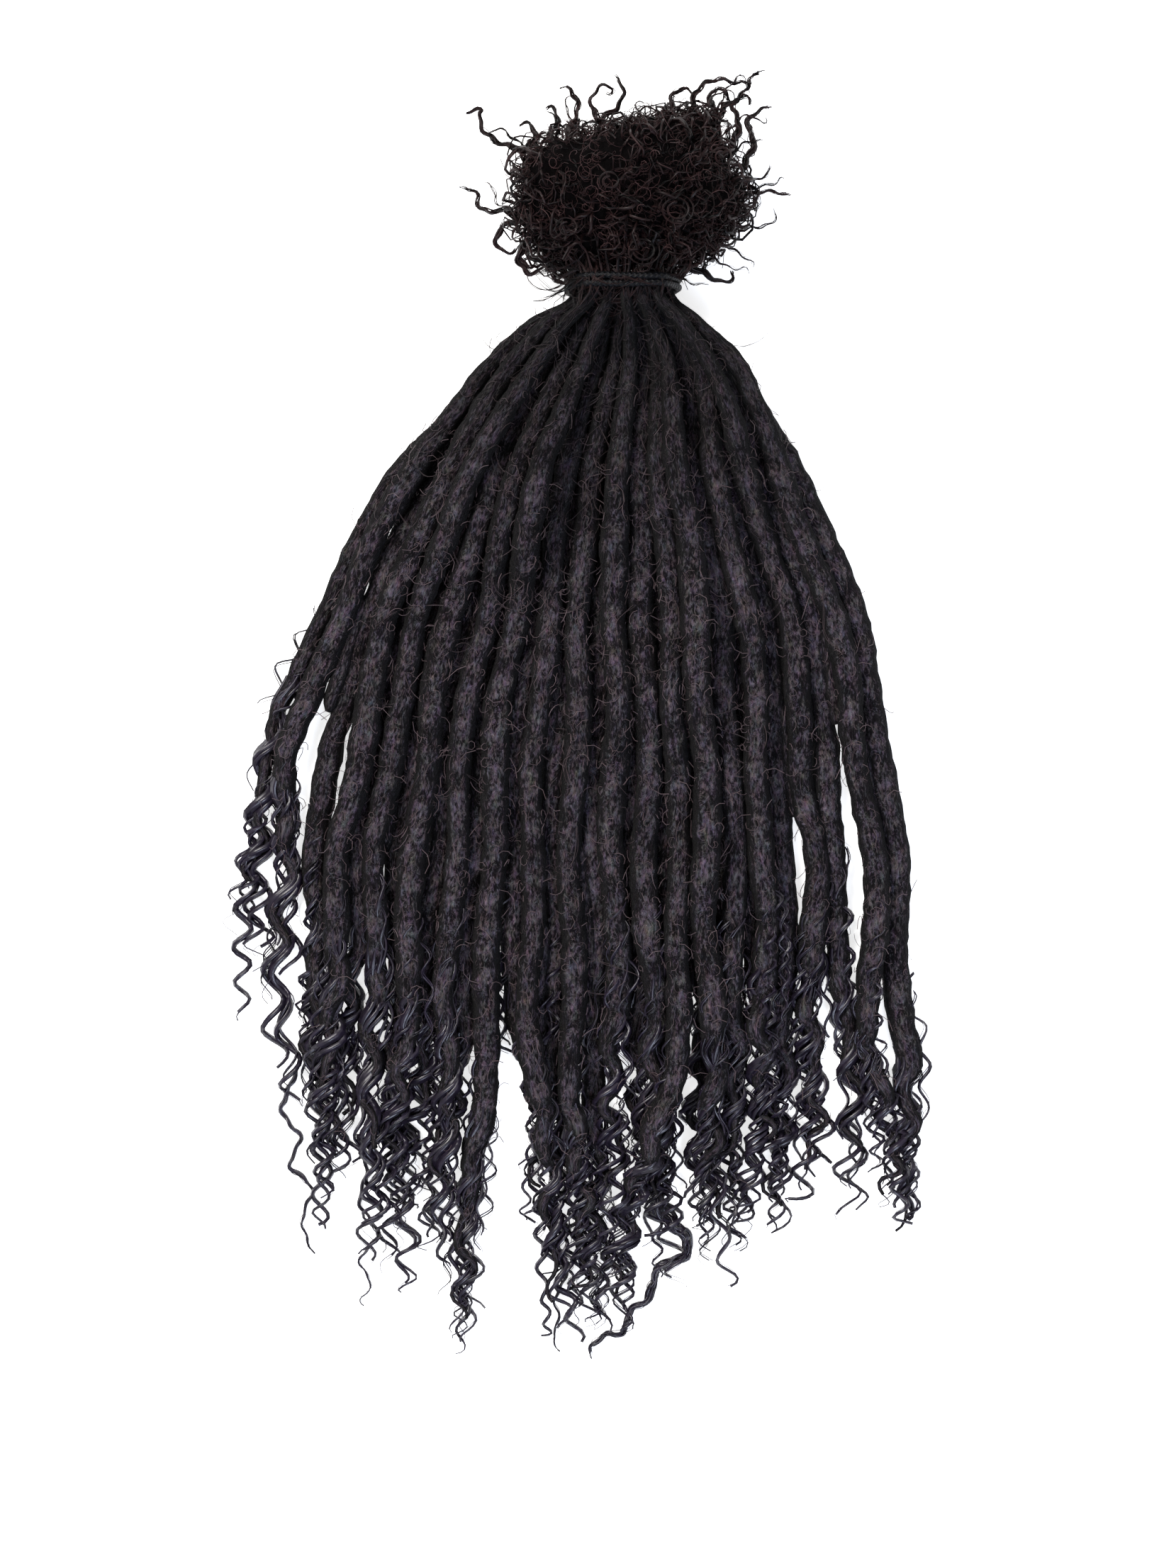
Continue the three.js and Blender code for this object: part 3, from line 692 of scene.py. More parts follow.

# %% [markdown]
# The felted bodies
# A hooked loc is round but never even: it swells and pinches every centimetre or so, and the
# felt itself is knotted. The tree sweeps a circle along each loc's line at the girth that the
# line carries, and then pushes the surface in and out with two sizes of noise and a slow wind
# round the loc. How far a point was pushed is kept for the colour, which paints the dips darker
# and the swells lighter as painted shade and light; how far the surface faces up is kept too,
# for painted light on the tops and painted shade on the sides. Single hairs stand off the felt,
# and the tree scatters them as small curled tubes. Displacing a swept circle keeps the loc
# inside the room that its solid has, which sculpting by hand would not.

# %% Flyaway hairs
LOWEST_FACING = -0.2  # upward part of the normal, below which a surface is out of sight
FLYAWAYS = [
    {"turns": 0.3, "corners": 4, "start": 3.0, "end": 4.0, "rise": 0.5},
    {"turns": 0.6, "corners": 5, "start": 1.0, "end": 2.2, "rise": 0.7},
    {"turns": 0.4, "corners": 4, "start": 1.6, "end": 2.0, "rise": 1.2},
    {"turns": 0.9, "corners": 7, "start": 0.6, "end": 1.3, "rise": 0.5},
]


def flyaways(tree, given, surface, shapes_table, material):
    """Curled hairs spread over the side of a surface that faces up, as real tubes."""
    shapes = add_node(tree, "GeometryNodeGeometryToInstance")
    circle = add_node(
        tree, "GeometryNodeCurvePrimitiveCircle", {"Resolution": 3, "Radius": given["Hair thickness"]}
    )
    for row in shapes_table:
        arc = add_node(
            tree,
            "GeometryNodeCurveSpiral",
            {
                "Resolution": max(5, int(row["corners"] / row["turns"])),
                "Rotations": row["turns"],
                "Start Radius": row["start"] * MM,
                "End Radius": row["end"] * MM,
                "Height": row["rise"] * MM,
            },
        )
        aside = add_node(
            tree,
            "GeometryNodeTransform",
            {"Geometry": arc.outputs[0], "Translation": (-row["start"] * MM, 0, -0.1 * MM)},
        )
        tube = add_node(
            tree,
            "GeometryNodeCurveToMesh",
            {"Curve": aside.outputs[0], "Profile Curve": circle.outputs[0], "Fill Caps": True},
        )
        tree.links.new(tube.outputs[0], shapes.inputs[0])
    normal = add_node(tree, "GeometryNodeInputNormal").outputs[0]
    facing = add_node(tree, "ShaderNodeSeparateXYZ", {0: normal}).outputs["Z"]
    seen = add_node(
        tree,
        "FunctionNodeCompare",
        {0: facing, 1: LOWEST_FACING},
        data_type="FLOAT",
        operation="GREATER_THAN",
    )
    roots = add_node(
        tree,
        "GeometryNodeDistributePointsOnFaces",
        {
            "Mesh": surface,
            "Selection": seen.outputs[0],
            "Density": given["Hairs a square metre"],
            "Seed": given["Seed"],
        },
    )
    spin = add_node(
        tree,
        "FunctionNodeRandomValue",
        {0: (-0.5, -0.5, 0), 1: (0.5, 0.5, math.tau), "Seed": given["Seed"]},
        data_type="FLOAT_VECTOR",
    )
    turned = add_node(
        tree,
        "FunctionNodeRotateRotation",
        {0: roots.outputs["Rotation"], 1: spin.outputs[0]},
        rotation_space="LOCAL",
    )
    size = add_node(
        tree,
        "FunctionNodeRandomValue",
        {2: 0.6, 3: 1.5, "Seed": given["Seed"]},
        data_type="FLOAT",
    )
    kind = add_node(
        tree,
        "FunctionNodeRandomValue",
        {4: 0, 5: len(shapes_table) - 1, "Seed": given["Seed"]},
        data_type="INT",
    )
    hairs = add_node(
        tree,
        "GeometryNodeInstanceOnPoints",
        {
            "Points": roots.outputs["Points"],
            "Instance": shapes.outputs[0],
            "Pick Instance": True,
            "Instance Index": kind.outputs[2],
            "Rotation": turned.outputs[0],
            "Scale": size.outputs[1],
        },
    )
    tone = add_node(
        tree,
        "GeometryNodeStoreNamedAttribute",
        {"Geometry": hairs.outputs[0], "Name": "strand_tone", "Value": size.outputs[1]},
        data_type="FLOAT",
        domain="INSTANCE",
    )
    real = add_node(tree, "GeometryNodeRealizeInstances", {"Geometry": tone.outputs[0]})
    return add_node(
        tree, "GeometryNodeSetMaterial", {"Geometry": real.outputs[0], "Material": material}
    ).outputs[0]


print(f"{len(FLYAWAYS)} shapes of flyaway hair")

# %% The felting tree
UNROLLED = 4 * MM  # radius at which a loc's pattern is straightened out
FELT_BUMPS = [
    {"bumps_a_mm": 0.085, "detail": 1.0},
    {"bumps_a_mm": 0.24, "detail": 2.0},
]
WIND_WANDER = 1.6  # radians that the swell turns the wind by
TALLEST_PUSH = 0.75 * MM
FAR_APART = 977.0  # steps along a noise that give each loc or strand a part of its own


def felting_tree():
    tree, given, output = start_tree(
        "felt_a_loc",
        sides=12,
        swell=0.4 * MM,
        knots=0.42 * MM,
        wind=0.16 * MM,
        wind_pitch=13 * MM,
        hairs_a_square_metre=16000.0,
        hair_thickness=0.085 * MM,
        start_depth=0.0,
        seed=1,
    )
    curve = add_node(tree, "GeometryNodeMeshToCurve", {"Mesh": given["Geometry"]})
    parameter = add_node(tree, "GeometryNodeSplineParameter")
    below = add_node(
        tree,
        "ShaderNodeMath",
        {0: parameter.outputs["Length"], 1: given["Start depth"]},
        operation="ADD",
    )
    marked = add_node(
        tree,
        "GeometryNodeStoreNamedAttribute",
        {"Geometry": curve.outputs[0], "Name": "depth", "Value": below.outputs[0]},
        data_type="FLOAT",
        domain="POINT",
    )
    girth = add_node(tree, "GeometryNodeInputNamedAttribute", {"Name": "girth"}, data_type="FLOAT")
    circle = add_node(
        tree, "GeometryNodeCurvePrimitiveCircle", {"Resolution": given["Sides"], "Radius": 1.0}
    )
    profile = add_node(
        tree,
        "GeometryNodeStoreNamedAttribute",
        {"Geometry": circle.outputs[0], "Name": "turn", "Value": parameter.outputs["Factor"]},
        data_type="FLOAT",
        domain="POINT",
    )
    swept = add_node(
        tree,
        "GeometryNodeCurveToMesh",
        {
            "Curve": marked.outputs[0],
            "Profile Curve": profile.outputs[0],
            "Scale": girth.outputs["Attribute"],
            "Fill Caps": True,
        },
    )
    place = add_node(tree, "GeometryNodeInputPosition").outputs[0]
    pushes = []
    for row in FELT_BUMPS:
        noise = add_node(
            tree,
            "ShaderNodeTexNoise",
            {
                "Vector": place,
                "Scale": row["bumps_a_mm"] / MM,
                "Detail": row["detail"],
                "Roughness": 0.6,
            },
        ).outputs["Fac"]
        pushes.append(
            add_node(
                tree,
                "ShaderNodeMapRange",
                {"Value": noise, "From Min": 0.28, "From Max": 0.72, "To Min": -1.0, "To Max": 1.0},
            ).outputs["Result"]
        )
    turn = add_node(tree, "GeometryNodeInputNamedAttribute", {"Name": "turn"}, data_type="FLOAT")
    depth = add_node(tree, "GeometryNodeInputNamedAttribute", {"Name": "depth"}, data_type="FLOAT")
    winds = add_node(
        tree,
        "ShaderNodeMath",
        {0: depth.outputs["Attribute"], 1: given["Wind pitch"]},
        operation="DIVIDE",
    ).outputs[0]
    angle = add_node(
        tree, "ShaderNodeMath", {0: turn.outputs["Attribute"], 1: winds}, operation="SUBTRACT"
    ).outputs[0]
    angle = add_node(tree, "ShaderNodeMath", {0: angle, 1: math.tau}, operation="MULTIPLY").outputs[0]
    angle = add_node(
        tree, "ShaderNodeMath", {0: pushes[0], 1: WIND_WANDER, 2: angle}, operation="MULTIPLY_ADD"
    ).outputs[0]
    pushes.append(add_node(tree, "ShaderNodeMath", {0: angle}, operation="SINE").outputs[0])
    total = 0.0
    for push, amount in zip(pushes, ("Swell", "Knots", "Wind")):
        total = add_node(
            tree, "ShaderNodeMath", {0: push, 1: given[amount], 2: total}, operation="MULTIPLY_ADD"
        ).outputs[0]
    slim = add_node(
        tree,
        "ShaderNodeMapRange",
        {"Value": girth.outputs["Attribute"], "From Min": 0.0, "From Max": UNROLLED},
    ).outputs["Result"]
    total = add_node(tree, "ShaderNodeMath", {0: total, 1: slim}, operation="MULTIPLY").outputs[0]
    # Painted shade and light: how far a point was pushed, which the felt's colour turns into darker dips and
    # lighter swells.
    height = add_node(
        tree,
        "ShaderNodeMapRange",
        {"Value": total, "From Min": -TALLEST_PUSH, "From Max": TALLEST_PUSH},
    ).outputs["Result"]
    noted = add_node(
        tree,
        "GeometryNodeStoreNamedAttribute",
        {"Geometry": swept.outputs[0], "Name": "felt_height", "Value": height},
        data_type="FLOAT",
        domain="POINT",
    )
    round_loc = add_node(
        tree, "ShaderNodeMath", {0: turn.outputs["Attribute"], 1: math.tau}, operation="MULTIPLY"
    ).outputs[0]
    sides = []
    for wave in ("COSINE", "SINE"):
        side = add_node(tree, "ShaderNodeMath", {0: round_loc}, operation=wave).outputs[0]
        side = add_node(tree, "ShaderNodeMath", {0: side, 1: UNROLLED / MM}, operation="MULTIPLY")
        sides.append(side.outputs[0])
    own_start = add_node(
        tree, "ShaderNodeMath", {0: given["Seed"], 1: FAR_APART}, operation="MULTIPLY"
    ).outputs[0]
    down = add_node(
        tree,
        "ShaderNodeMath",
        {0: depth.outputs["Attribute"], 1: 1 / MM, 2: own_start},
        operation="MULTIPLY_ADD",
    ).outputs[0]
    straight = add_node(tree, "ShaderNodeCombineXYZ", {"X": sides[0], "Y": sides[1], "Z": down})
    placed = add_node(
        tree,
        "GeometryNodeStoreNamedAttribute",
        {"Geometry": noted.outputs[0], "Name": "hair_place", "Value": straight.outputs[0]},
        data_type="FLOAT_VECTOR",
        domain="POINT",
    )
    normal = add_node(tree, "GeometryNodeInputNormal").outputs[0]
    push = add_node(
        tree, "ShaderNodeVectorMath", {0: normal, "Scale": total}, operation="SCALE"
    ).outputs[0]
    pushed = add_node(
        tree, "GeometryNodeSetPosition", {"Geometry": placed.outputs[0], "Offset": push}
    )
    # Painted light and shade: how far the surface faces up, which the felt's colour turns into lighter tops
    # and near black sides.
    facing = add_node(tree, "ShaderNodeSeparateXYZ", {0: normal}).outputs["Z"]
    top = add_node(
        tree,
        "ShaderNodeMapRange",
        {"Value": facing, "From Min": 0.25, "From Max": 0.95},
        interpolation_type="SMOOTHSTEP",
    ).outputs["Result"]
    brushed = add_node(
        tree,
        "GeometryNodeStoreNamedAttribute",
        {"Geometry": pushed.outputs[0], "Name": "brushed", "Value": top},
        data_type="FLOAT",
        domain="POINT",
    )
    felt = add_node(
        tree, "GeometryNodeSetMaterial", {"Geometry": brushed.outputs[0], "Material": FELTED_HAIR}
    )
    whole = add_node(tree, "GeometryNodeJoinGeometry")
    tree.links.new(felt.outputs[0], whole.inputs[0])
    loose_hairs = flyaways(tree, given, brushed.outputs[0], FLYAWAYS, FLYAWAY_HAIR)
    tree.links.new(loose_hairs, whole.inputs[0])
    end_tree(tree, output, laid_on_table(tree, whole.outputs[0], LOWEST_SKIN))
    return tree


FELTING = felting_tree()
print(f"{FELTING.name}: {len(FELTING.nodes)} nodes")

# %% Felt the thirty-two bodies
FELT_THINS = 14 * MM  # before the felt ends, where its hair starts to come loose
FELT_TAIL = 62 * MM  # past there, hidden among the curls
TAIL_SHARE = 0.45
TAIL_WAVES = 20 * MM  # before the felt ends, where it starts to wave
TAIL_SWING = 0.5  # of the swing of the hair round it
OPEN_HAIRS = 52000.0  # flyaway hairs on a square metre of a loc of the upper layer
COVERED_HAIRS = 10000.0

bodies = []
for name in LOC_NAMES:
    rows, at, felt_end = LINES[name]
    kept = at < felt_end + FELT_TAIL
    thin = 1 - (1 - TAIL_SHARE) * ease(felt_end - FELT_THINS, felt_end + FELT_TAIL, at)
    covered = name.startswith("loc_lower")
    centres = rows[:, :3].copy()
    flow = np.gradient(centres[:, :2], axis=0)
    flow /= np.linalg.norm(flow, axis=1)[:, None]
    waving = ease(felt_end - TAIL_WAVES, felt_end + FELT_TAIL, at)
    swing = TAIL_SWING * CURL_SWING * waving * np.sin(BEATS[name])
    centres[:, 0] += flow[:, 1] * swing
    centres[:, 1] -= flow[:, 0] * swing
    centres = centres[kept]
    body_line = line_object(f"{name}_line", [centres], {"girth": [(rows[:, 4] * thin)[kept]]})
    body = grow(
        body_line,
        FELTING,
        name.replace("loc", "felted_loc"),
        sides=10 if covered else 12,
        hairs_a_square_metre=COVERED_HAIRS if covered else OPEN_HAIRS,
        seed=LOC_NAMES.index(name),
    )
    bpy.data.objects.remove(body_line)
    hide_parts(name)
    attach(body, "root")
    bodies.append(body)
print(f"{len(bodies)} felted bodies, {sum(map(triangles, bodies))} triangles")

# %% [markdown]
# Felted bridges between locs
# Where two locs have worked into each other, felt fills the valley between them and no table
# shows. These places follow no rule, so each bridge is drawn through points of the photograph
# and felted like a thin loc.

# %% Bridges drawn through points of the photograph
BRIDGE_HEIGHT = 5.0 * MM
BRIDGE_GIRTH = 2.6 * MM
BRIDGES = [
    [(1030, 850), (1040, 930), (1047, 1015), (1053, 1090), (1058, 1170), (1059, 1290), (1060, 1410)],
    [(1104, 990), (1110, 1036), (1116, 1100), (1124, 1160)],
    [(1162, 880), (1170, 930), (1176, 980), (1182, 1030)],
    [(1214, 1030), (1222, 1072), (1228, 1129), (1233, 1180)],
    [(514, 840), (502, 880), (488, 925), (473, 970), (462, 1005)],
    [(556, 1100), (550, 1150), (543, 1200)],
    [(790, 930), (781, 990), (771, 1070)],
    [(813, 1180), (820, 1240), (828, 1300), (832, 1360)],
    [(768, 1300), (766, 1350), (762, 1400), (764, 1470)],
]

for number, points in enumerate(BRIDGES):
    corners = np.array([photo_place(x, y, BRIDGE_HEIGHT) for x, y in points])
    places = along(corners)
    s = np.arange(0, places[-1], RING_SPACING["lower"])
    girth = BRIDGE_GIRTH * np.minimum(1, 0.3 + 3 * np.sin(math.pi * s / places[-1]))
    bridge_line = line_object("bridge_line", [curve_through(places, corners, s)], {"girth": [girth]})
    bridge = grow(
        bridge_line,
        FELTING,
        f"felted_bridge_{number + 1}",
        sides=10,
        hairs_a_square_metre=COVERED_HAIRS,
        seed=50 + number,
        start_depth=NECK.y - corners[0, 1],
    )
    bpy.data.objects.remove(bridge_line)
    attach(bridge, "root")
print(f"{len(BRIDGES)} felted bridges")

# %% [markdown]
# Combing strands from a guide
# A wavy lock is many hairs that share one wave and part from it a little. Each guide carries
# the wave as two swings square to its line and the phase that drives them. The tree copies the
# guide once for each hair, shifts each copy's phase, lets it drift by a noise of its own, lays
# it on the table where it would dip below, ends it early or late, and sweeps a thin tapered
# tube along it. The hairs in the middle of a lock lie so close that they show as one, so the
# strand nearest to it is the thickest. Three sides are enough for a tube this thin.

# %% The combing tree
DRIFT_GAIN = 4.0  # a noise stays near its middle, so its drift is stretched
THINNEST_END = 0.45  # share of its girth that a strand keeps at its end


def combing_tree(material):
    tree, given, output = start_tree(
        f"comb_{material.name}",
        strands=7,
        thickness=0.2 * MM,
        drift_size=14 * MM,
        phase_spread=1.2,
        finest=0.4,
        core=1.7,
        shortest=0.7,
        lowest=0.3 * MM,
        seed=1,
    )
    curve = add_node(tree, "GeometryNodeMeshToCurve", {"Mesh": given["Geometry"]})
    copies = add_node(
        tree,
        "GeometryNodeDuplicateElements",
        {"Geometry": curve.outputs[0], "Amount": given["Strands"]},
        domain="SPLINE",
    )
    chance = add_node(tree, "FunctionNodeRandomValue", {"Seed": given["Seed"]}, data_type="FLOAT")
    toned = add_node(
        tree,
        "GeometryNodeStoreNamedAttribute",
        {"Geometry": copies.outputs[0], "Name": "strand_tone", "Value": chance.outputs[1]},
        data_type="FLOAT",
        domain="CURVE",
    )
    kept = {}
    for key, kind in (
        ("strand_tone", "FLOAT"),
        ("phase", "FLOAT"),
        ("loose", "FLOAT"),
        ("reach", "FLOAT"),
        ("girth", "FLOAT"),
        ("swing", "FLOAT_VECTOR"),
        ("lift", "FLOAT_VECTOR"),
    ):
        kept[key] = add_node(
            tree, "GeometryNodeInputNamedAttribute", {"Name": key}, data_type=kind
        ).outputs["Attribute"]
    tone = kept["strand_tone"]
    off = add_node(tree, "ShaderNodeMath", {0: tone, 1: 0.5}, operation="SUBTRACT").outputs[0]
    far = add_node(tree, "ShaderNodeMath", {0: off}, operation="ABSOLUTE").outputs[0]
    off = add_node(tree, "ShaderNodeMath", {0: off, 1: far}, operation="MULTIPLY").outputs[0]
    shift = add_node(
        tree, "ShaderNodeMath", {0: off, 1: given["Phase spread"]}, operation="MULTIPLY"
    ).outputs[0]
    phase = add_node(
        tree, "ShaderNodeMath", {0: shift, 1: kept["reach"], 2: kept["phase"]}, operation="MULTIPLY_ADD"
    ).outputs[0]
    offset = None
    for key, wave in (("swing", "SINE"), ("lift", "COSINE")):
        amount = add_node(tree, "ShaderNodeMath", {0: phase}, operation=wave).outputs[0]
        part = add_node(
            tree, "ShaderNodeVectorMath", {0: kept[key], "Scale": amount}, operation="SCALE"
        ).outputs[0]
        if offset is not None:
            part = add_node(
                tree, "ShaderNodeVectorMath", {0: offset, 1: part}, operation="ADD"
            ).outputs[0]
        offset = part
    own = add_node(tree, "ShaderNodeMath", {0: tone, 1: FAR_APART}, operation="MULTIPLY").outputs[0]
    size = add_node(
        tree, "ShaderNodeMath", {0: 1.0, 1: given["Drift size"]}, operation="DIVIDE"
    ).outputs[0]
    place = add_node(tree, "GeometryNodeInputPosition").outputs[0]
    noise = add_node(
        tree,
        "ShaderNodeTexNoise",
        {"Vector": place, "W": own, "Scale": size, "Detail": 1.0},
        noise_dimensions="4D",
    ).outputs["Color"]
    drift = add_node(
        tree, "ShaderNodeVectorMath", {0: noise, 1: (0.5, 0.5, 0.5)}, operation="SUBTRACT"
    ).outputs[0]
    drift = add_node(
        tree, "ShaderNodeVectorMath", {0: drift, "Scale": kept["loose"]}, operation="SCALE"
    ).outputs[0]
    drift = add_node(
        tree, "ShaderNodeVectorMath", {0: drift, "Scale": DRIFT_GAIN}, operation="SCALE"
    ).outputs[0]
    offset = add_node(tree, "ShaderNodeVectorMath", {0: offset, 1: drift}, operation="ADD").outputs[0]
    waved = add_node(tree, "GeometryNodeSetPosition", {"Geometry": toned.outputs[0], "Offset": offset})
    laid = laid_on_table(tree, waved.outputs[0], given["Lowest"])
    luck = add_node(tree, "ShaderNodeMath", {0: own}, operation="FRACT").outputs[0]
    end = add_node(
        tree,
        "ShaderNodeMapRange",
        {"Value": luck, "To Min": given["Shortest"], "To Max": 1.0},
    ).outputs["Result"]
    beyond = add_node(
        tree,
        "FunctionNodeCompare",
        {0: kept["reach"], 1: end},
        data_type="FLOAT",
        operation="GREATER_THAN",
    ).outputs[0]
    cut = add_node(
        tree,
        "GeometryNodeDeleteGeometry",
        {"Geometry": laid, "Selection": beyond},
        domain="POINT",
    )
    share = add_node(tree, "ShaderNodeMath", {0: kept["reach"], 1: end}, operation="DIVIDE").outputs[0]
    share = add_node(tree, "ShaderNodeMath", {0: share, 1: 3.0}, operation="POWER").outputs[0]
    taper = add_node(
        tree, "ShaderNodeMapRange", {"Value": share, "To Min": 1.0, "To Max": THINNEST_END}
    ).outputs["Result"]
    taper = add_node(
        tree, "ShaderNodeMath", {0: taper, 1: kept["girth"]}, operation="MULTIPLY"
    ).outputs[0]
    near = add_node(
        tree, "ShaderNodeMapRange", {"Value": far, "From Max": 0.5, "To Min": 1.0, "To Max": 0.0}
    ).outputs["Result"]
    near = add_node(tree, "ShaderNodeMath", {0: near, 1: near}, operation="MULTIPLY").outputs[0]
    bunch = add_node(
        tree, "ShaderNodeMapRange", {"Value": near, "To Min": given["Finest"], "To Max": given["Core"]}
    ).outputs["Result"]
    taper = add_node(tree, "ShaderNodeMath", {0: taper, 1: bunch}, operation="MULTIPLY").outputs[0]
    width = add_node(
        tree, "ShaderNodeMath", {0: taper, 1: given["Thickness"]}, operation="MULTIPLY"
    ).outputs[0]
    circle = add_node(tree, "GeometryNodeCurvePrimitiveCircle", {"Resolution": 3, "Radius": 1.0})
    tube = add_node(
        tree,
        "GeometryNodeCurveToMesh",
        {
            "Curve": cut.outputs[0],
            "Profile Curve": circle.outputs[0],
            "Scale": width,
            "Fill Caps": True,
        },
    )
    end_tree(tree, output, tube.outputs[0], material)
    return tree


COMB_WAVY = combing_tree(WAVY_HAIR)
COMB_ROOTS = combing_tree(ROOT_HAIR)
COMB_STRAYS = combing_tree(FLYAWAY_HAIR)
print(f"{COMB_WAVY.name}: {len(COMB_WAVY.nodes)} nodes")

# %% Comb guides into one object
STILL_THINNING = 0.3  # how much of its girth a guide without a wave loses


def gathered(guides, key):
    return [guide[key] for guide in guides]


def comb(name, guides, tree, **inputs):
    """Combs a set of guides into one object."""
    attributes = {key: gathered(guides, key) for key in guides[0] if key != "points"}
    lines = line_object(f"{name}_guides", gathered(guides, "points"), attributes)
    made = grow(lines, tree, name, **inputs)
    bpy.data.objects.remove(lines)
    return made


def still_guide(points, loose, girth):
    """A guide without a wave, whose strands only drift apart."""
    t = np.linspace(0, 1, len(points))
    still = np.zeros((len(points), 3))
    return {
        "points": points,
        "phase": t,
        "swing": still,
        "lift": still,
        "loose": np.full(len(points), loose),
        "reach": t,
        "girth": girth - STILL_THINNING * t,
    }


print("a guide carries", ", ".join(still_guide(np.zeros((2, 3)), 0, 1)))

# %% [markdown]
# The curly ends
# Below the felt each loc opens into four or five long, wavy clumps. They start on the skin of
# the loc, share its beat, and drift apart until they end at different lengths, so that the gaps
# between two clumps are lens-shaped. Short curls with a quicker beat of their own make the hair
# bushy near the felt, and at the tips it is drawn out to a few hairs.

# %% Guides for the curly ends
GUIDE_SPACING = 1.7 * MM
SHORT_SPACING = 1.3 * MM
SKIN_SHARE = 0.85  # of the loc's half height, where the clumps come out of it
LONG_STRAY = {"reach": 5 * MM, "power": 1.6}
SHORT_STRAY = {"reach": 7 * MM, "power": 0.7}


def calm(rows, at, start, window):
    """The line with the drawn wave of its solid averaged out below a distance."""
    n = max(3, int(window / (at[1] - at[0])) | 1)
    half = n // 2
    first, last = rows[0], rows[-1]
    padded = np.concatenate([np.repeat([first], half, 0), rows, np.repeat([last], half, 0)])
    total = np.cumsum(np.concatenate([[np.zeros(rows.shape[1])], padded]), axis=0)
    mean = (total[n:] - total[:-n]) / n
    share = ease(start - window, start, at)[:, None]
    return rows * (1 - share) + mean * share


def clump_guide(name, rows, turn, rng, full, short):
    """One wavy clump as points and what the combing tree reads from them."""
    at, felt_end = LINES[name][1:]
    start = felt_end - rng.uniform(-4, 18) * MM
    tip = at[-1] * (1 if full else rng.uniform(0.84, 1.0))
    if short:
        start = felt_end - rng.uniform(-32, 38) * MM
        tip = min(start + rng.uniform(35, 65) * MM, at[-1])
    spacing = SHORT_SPACING if short else GUIDE_SPACING
    s = np.arange(start, tip, spacing)
    line = np.stack([np.interp(s, at, rows[:, k]) for k in range(5)], axis=1)
    t = (s - start) / (tip - start)
    skin = line[:, 4] * SKIN_SHARE * (1 - ease(felt_end - 10 * MM, felt_end + 40 * MM, s))
    tangent = np.gradient(line[:, :3], axis=0)
    tangent /= np.linalg.norm(tangent, axis=1)[:, None]
    up = np.array([0, 0, 1.0])
    across = np.cross(tangent, up)
    across /= np.linalg.norm(across, axis=1)[:, None]
    stray = SHORT_STRAY if short else LONG_STRAY
    aside = rng.uniform(-1, 1) * (stray["reach"] * t ** stray["power"])
    points = line[:, :3] + across * (skin * math.cos(turn) + aside)[:, None]
    points[:, 2] += skin * math.sin(turn)
    swing = CURL_SWING * rng.uniform(0.75, 1.15) * ease(start - 8 * MM, felt_end + 26 * MM, s)
    beat = np.interp(s, at, BEATS[name])
    phase = beat[0] + (beat - beat[0]) * rng.uniform(0.94, 1.06)
    if short:
        phase = phase * rng.uniform(1.2, 1.7)
        swing = CURL_SWING * rng.uniform(0.35, 0.75) * np.ones(len(s))
    swing = swing * (1 + 0.35 * unevenness(s, 20 * MM, rng))
    return {
        "points": points,
        "phase": phase,
        "swing": across * swing[:, None],
        "lift": up * (0.5 * swing)[:, None],
        "loose": 0.1 * MM + (0.7 if short else 0.35) * MM * (1 - ease(0.05, 0.7, t)),
        "reach": t,
        "girth": (1.3 - 0.3 * t) * (0.3 + 0.7 * ease(0, 28 * MM, s - start)),
    }


print(f"a point every {GUIDE_SPACING / MM} mm, or {SHORT_SPACING / MM} mm in a short curl")

# %% Comb the curly ends
CLUMPS = {"upper": 5, "lower": 4}
SHORT_CLUMPS = 10
LOCS_A_LAYER = 16
LOCS_A_PIECE = 4
CALM_WINDOW = 24 * MM  # the length over which the wave of a solid is averaged out
LONG_HAIR = {
    "strands": 4,
    "thickness": 0.53 * MM,
    "finest": 0.3,
    "core": 2.6,
    "phase_spread": 2.2,
    "shortest": 0.88,
}
SHORT_HAIR = {
    "strands": 3,
    "thickness": 0.54 * MM,
    "finest": 0.3,
    "phase_spread": 5.0,
    "shortest": 0.7,
}

curls = []
for layer, clumps in CLUMPS.items():
    for part in range(LOCS_A_LAYER // LOCS_A_PIECE):
        long_guides = []
        short_guides = []
        for k in range(part * LOCS_A_PIECE, (part + 1) * LOCS_A_PIECE):
            name = f"loc_{layer}_{k + 1:02d}"
            rows, at, felt_end = LINES[name]
            rng = np.random.default_rng(1000 * clumps + k)
            rows = calm(rows, at, felt_end, CALM_WINDOW)
            for c in range(clumps):
                turn = math.pi * (c + 0.3) / clumps
                guide = clump_guide(name, rows, turn, rng, c == 0, short=False)
                guide["phase"] = guide["phase"] + rng.uniform(-0.55, 0.55)
                long_guides.append(guide)
            for c in range(SHORT_CLUMPS):
                turn = math.pi * rng.uniform(-0.1, 1.1)
                guide = clump_guide(name, rows, turn, rng, False, short=True)
                guide["phase"] = guide["phase"] + rng.uniform(0, math.tau)
                short_guides.append(guide)
        for kind, guides, settings in (
            ("waves", long_guides, LONG_HAIR),
            ("curls", short_guides, SHORT_HAIR),
        ):
            made = comb(f"{kind}_{layer}_{part + 1}", guides, COMB_WAVY, seed=part + 1, **settings)
            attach(made, "root")
            curls.append(made)
print(f"{len(curls)} sets of waves and curls, {sum(map(triangles, curls))} triangles")

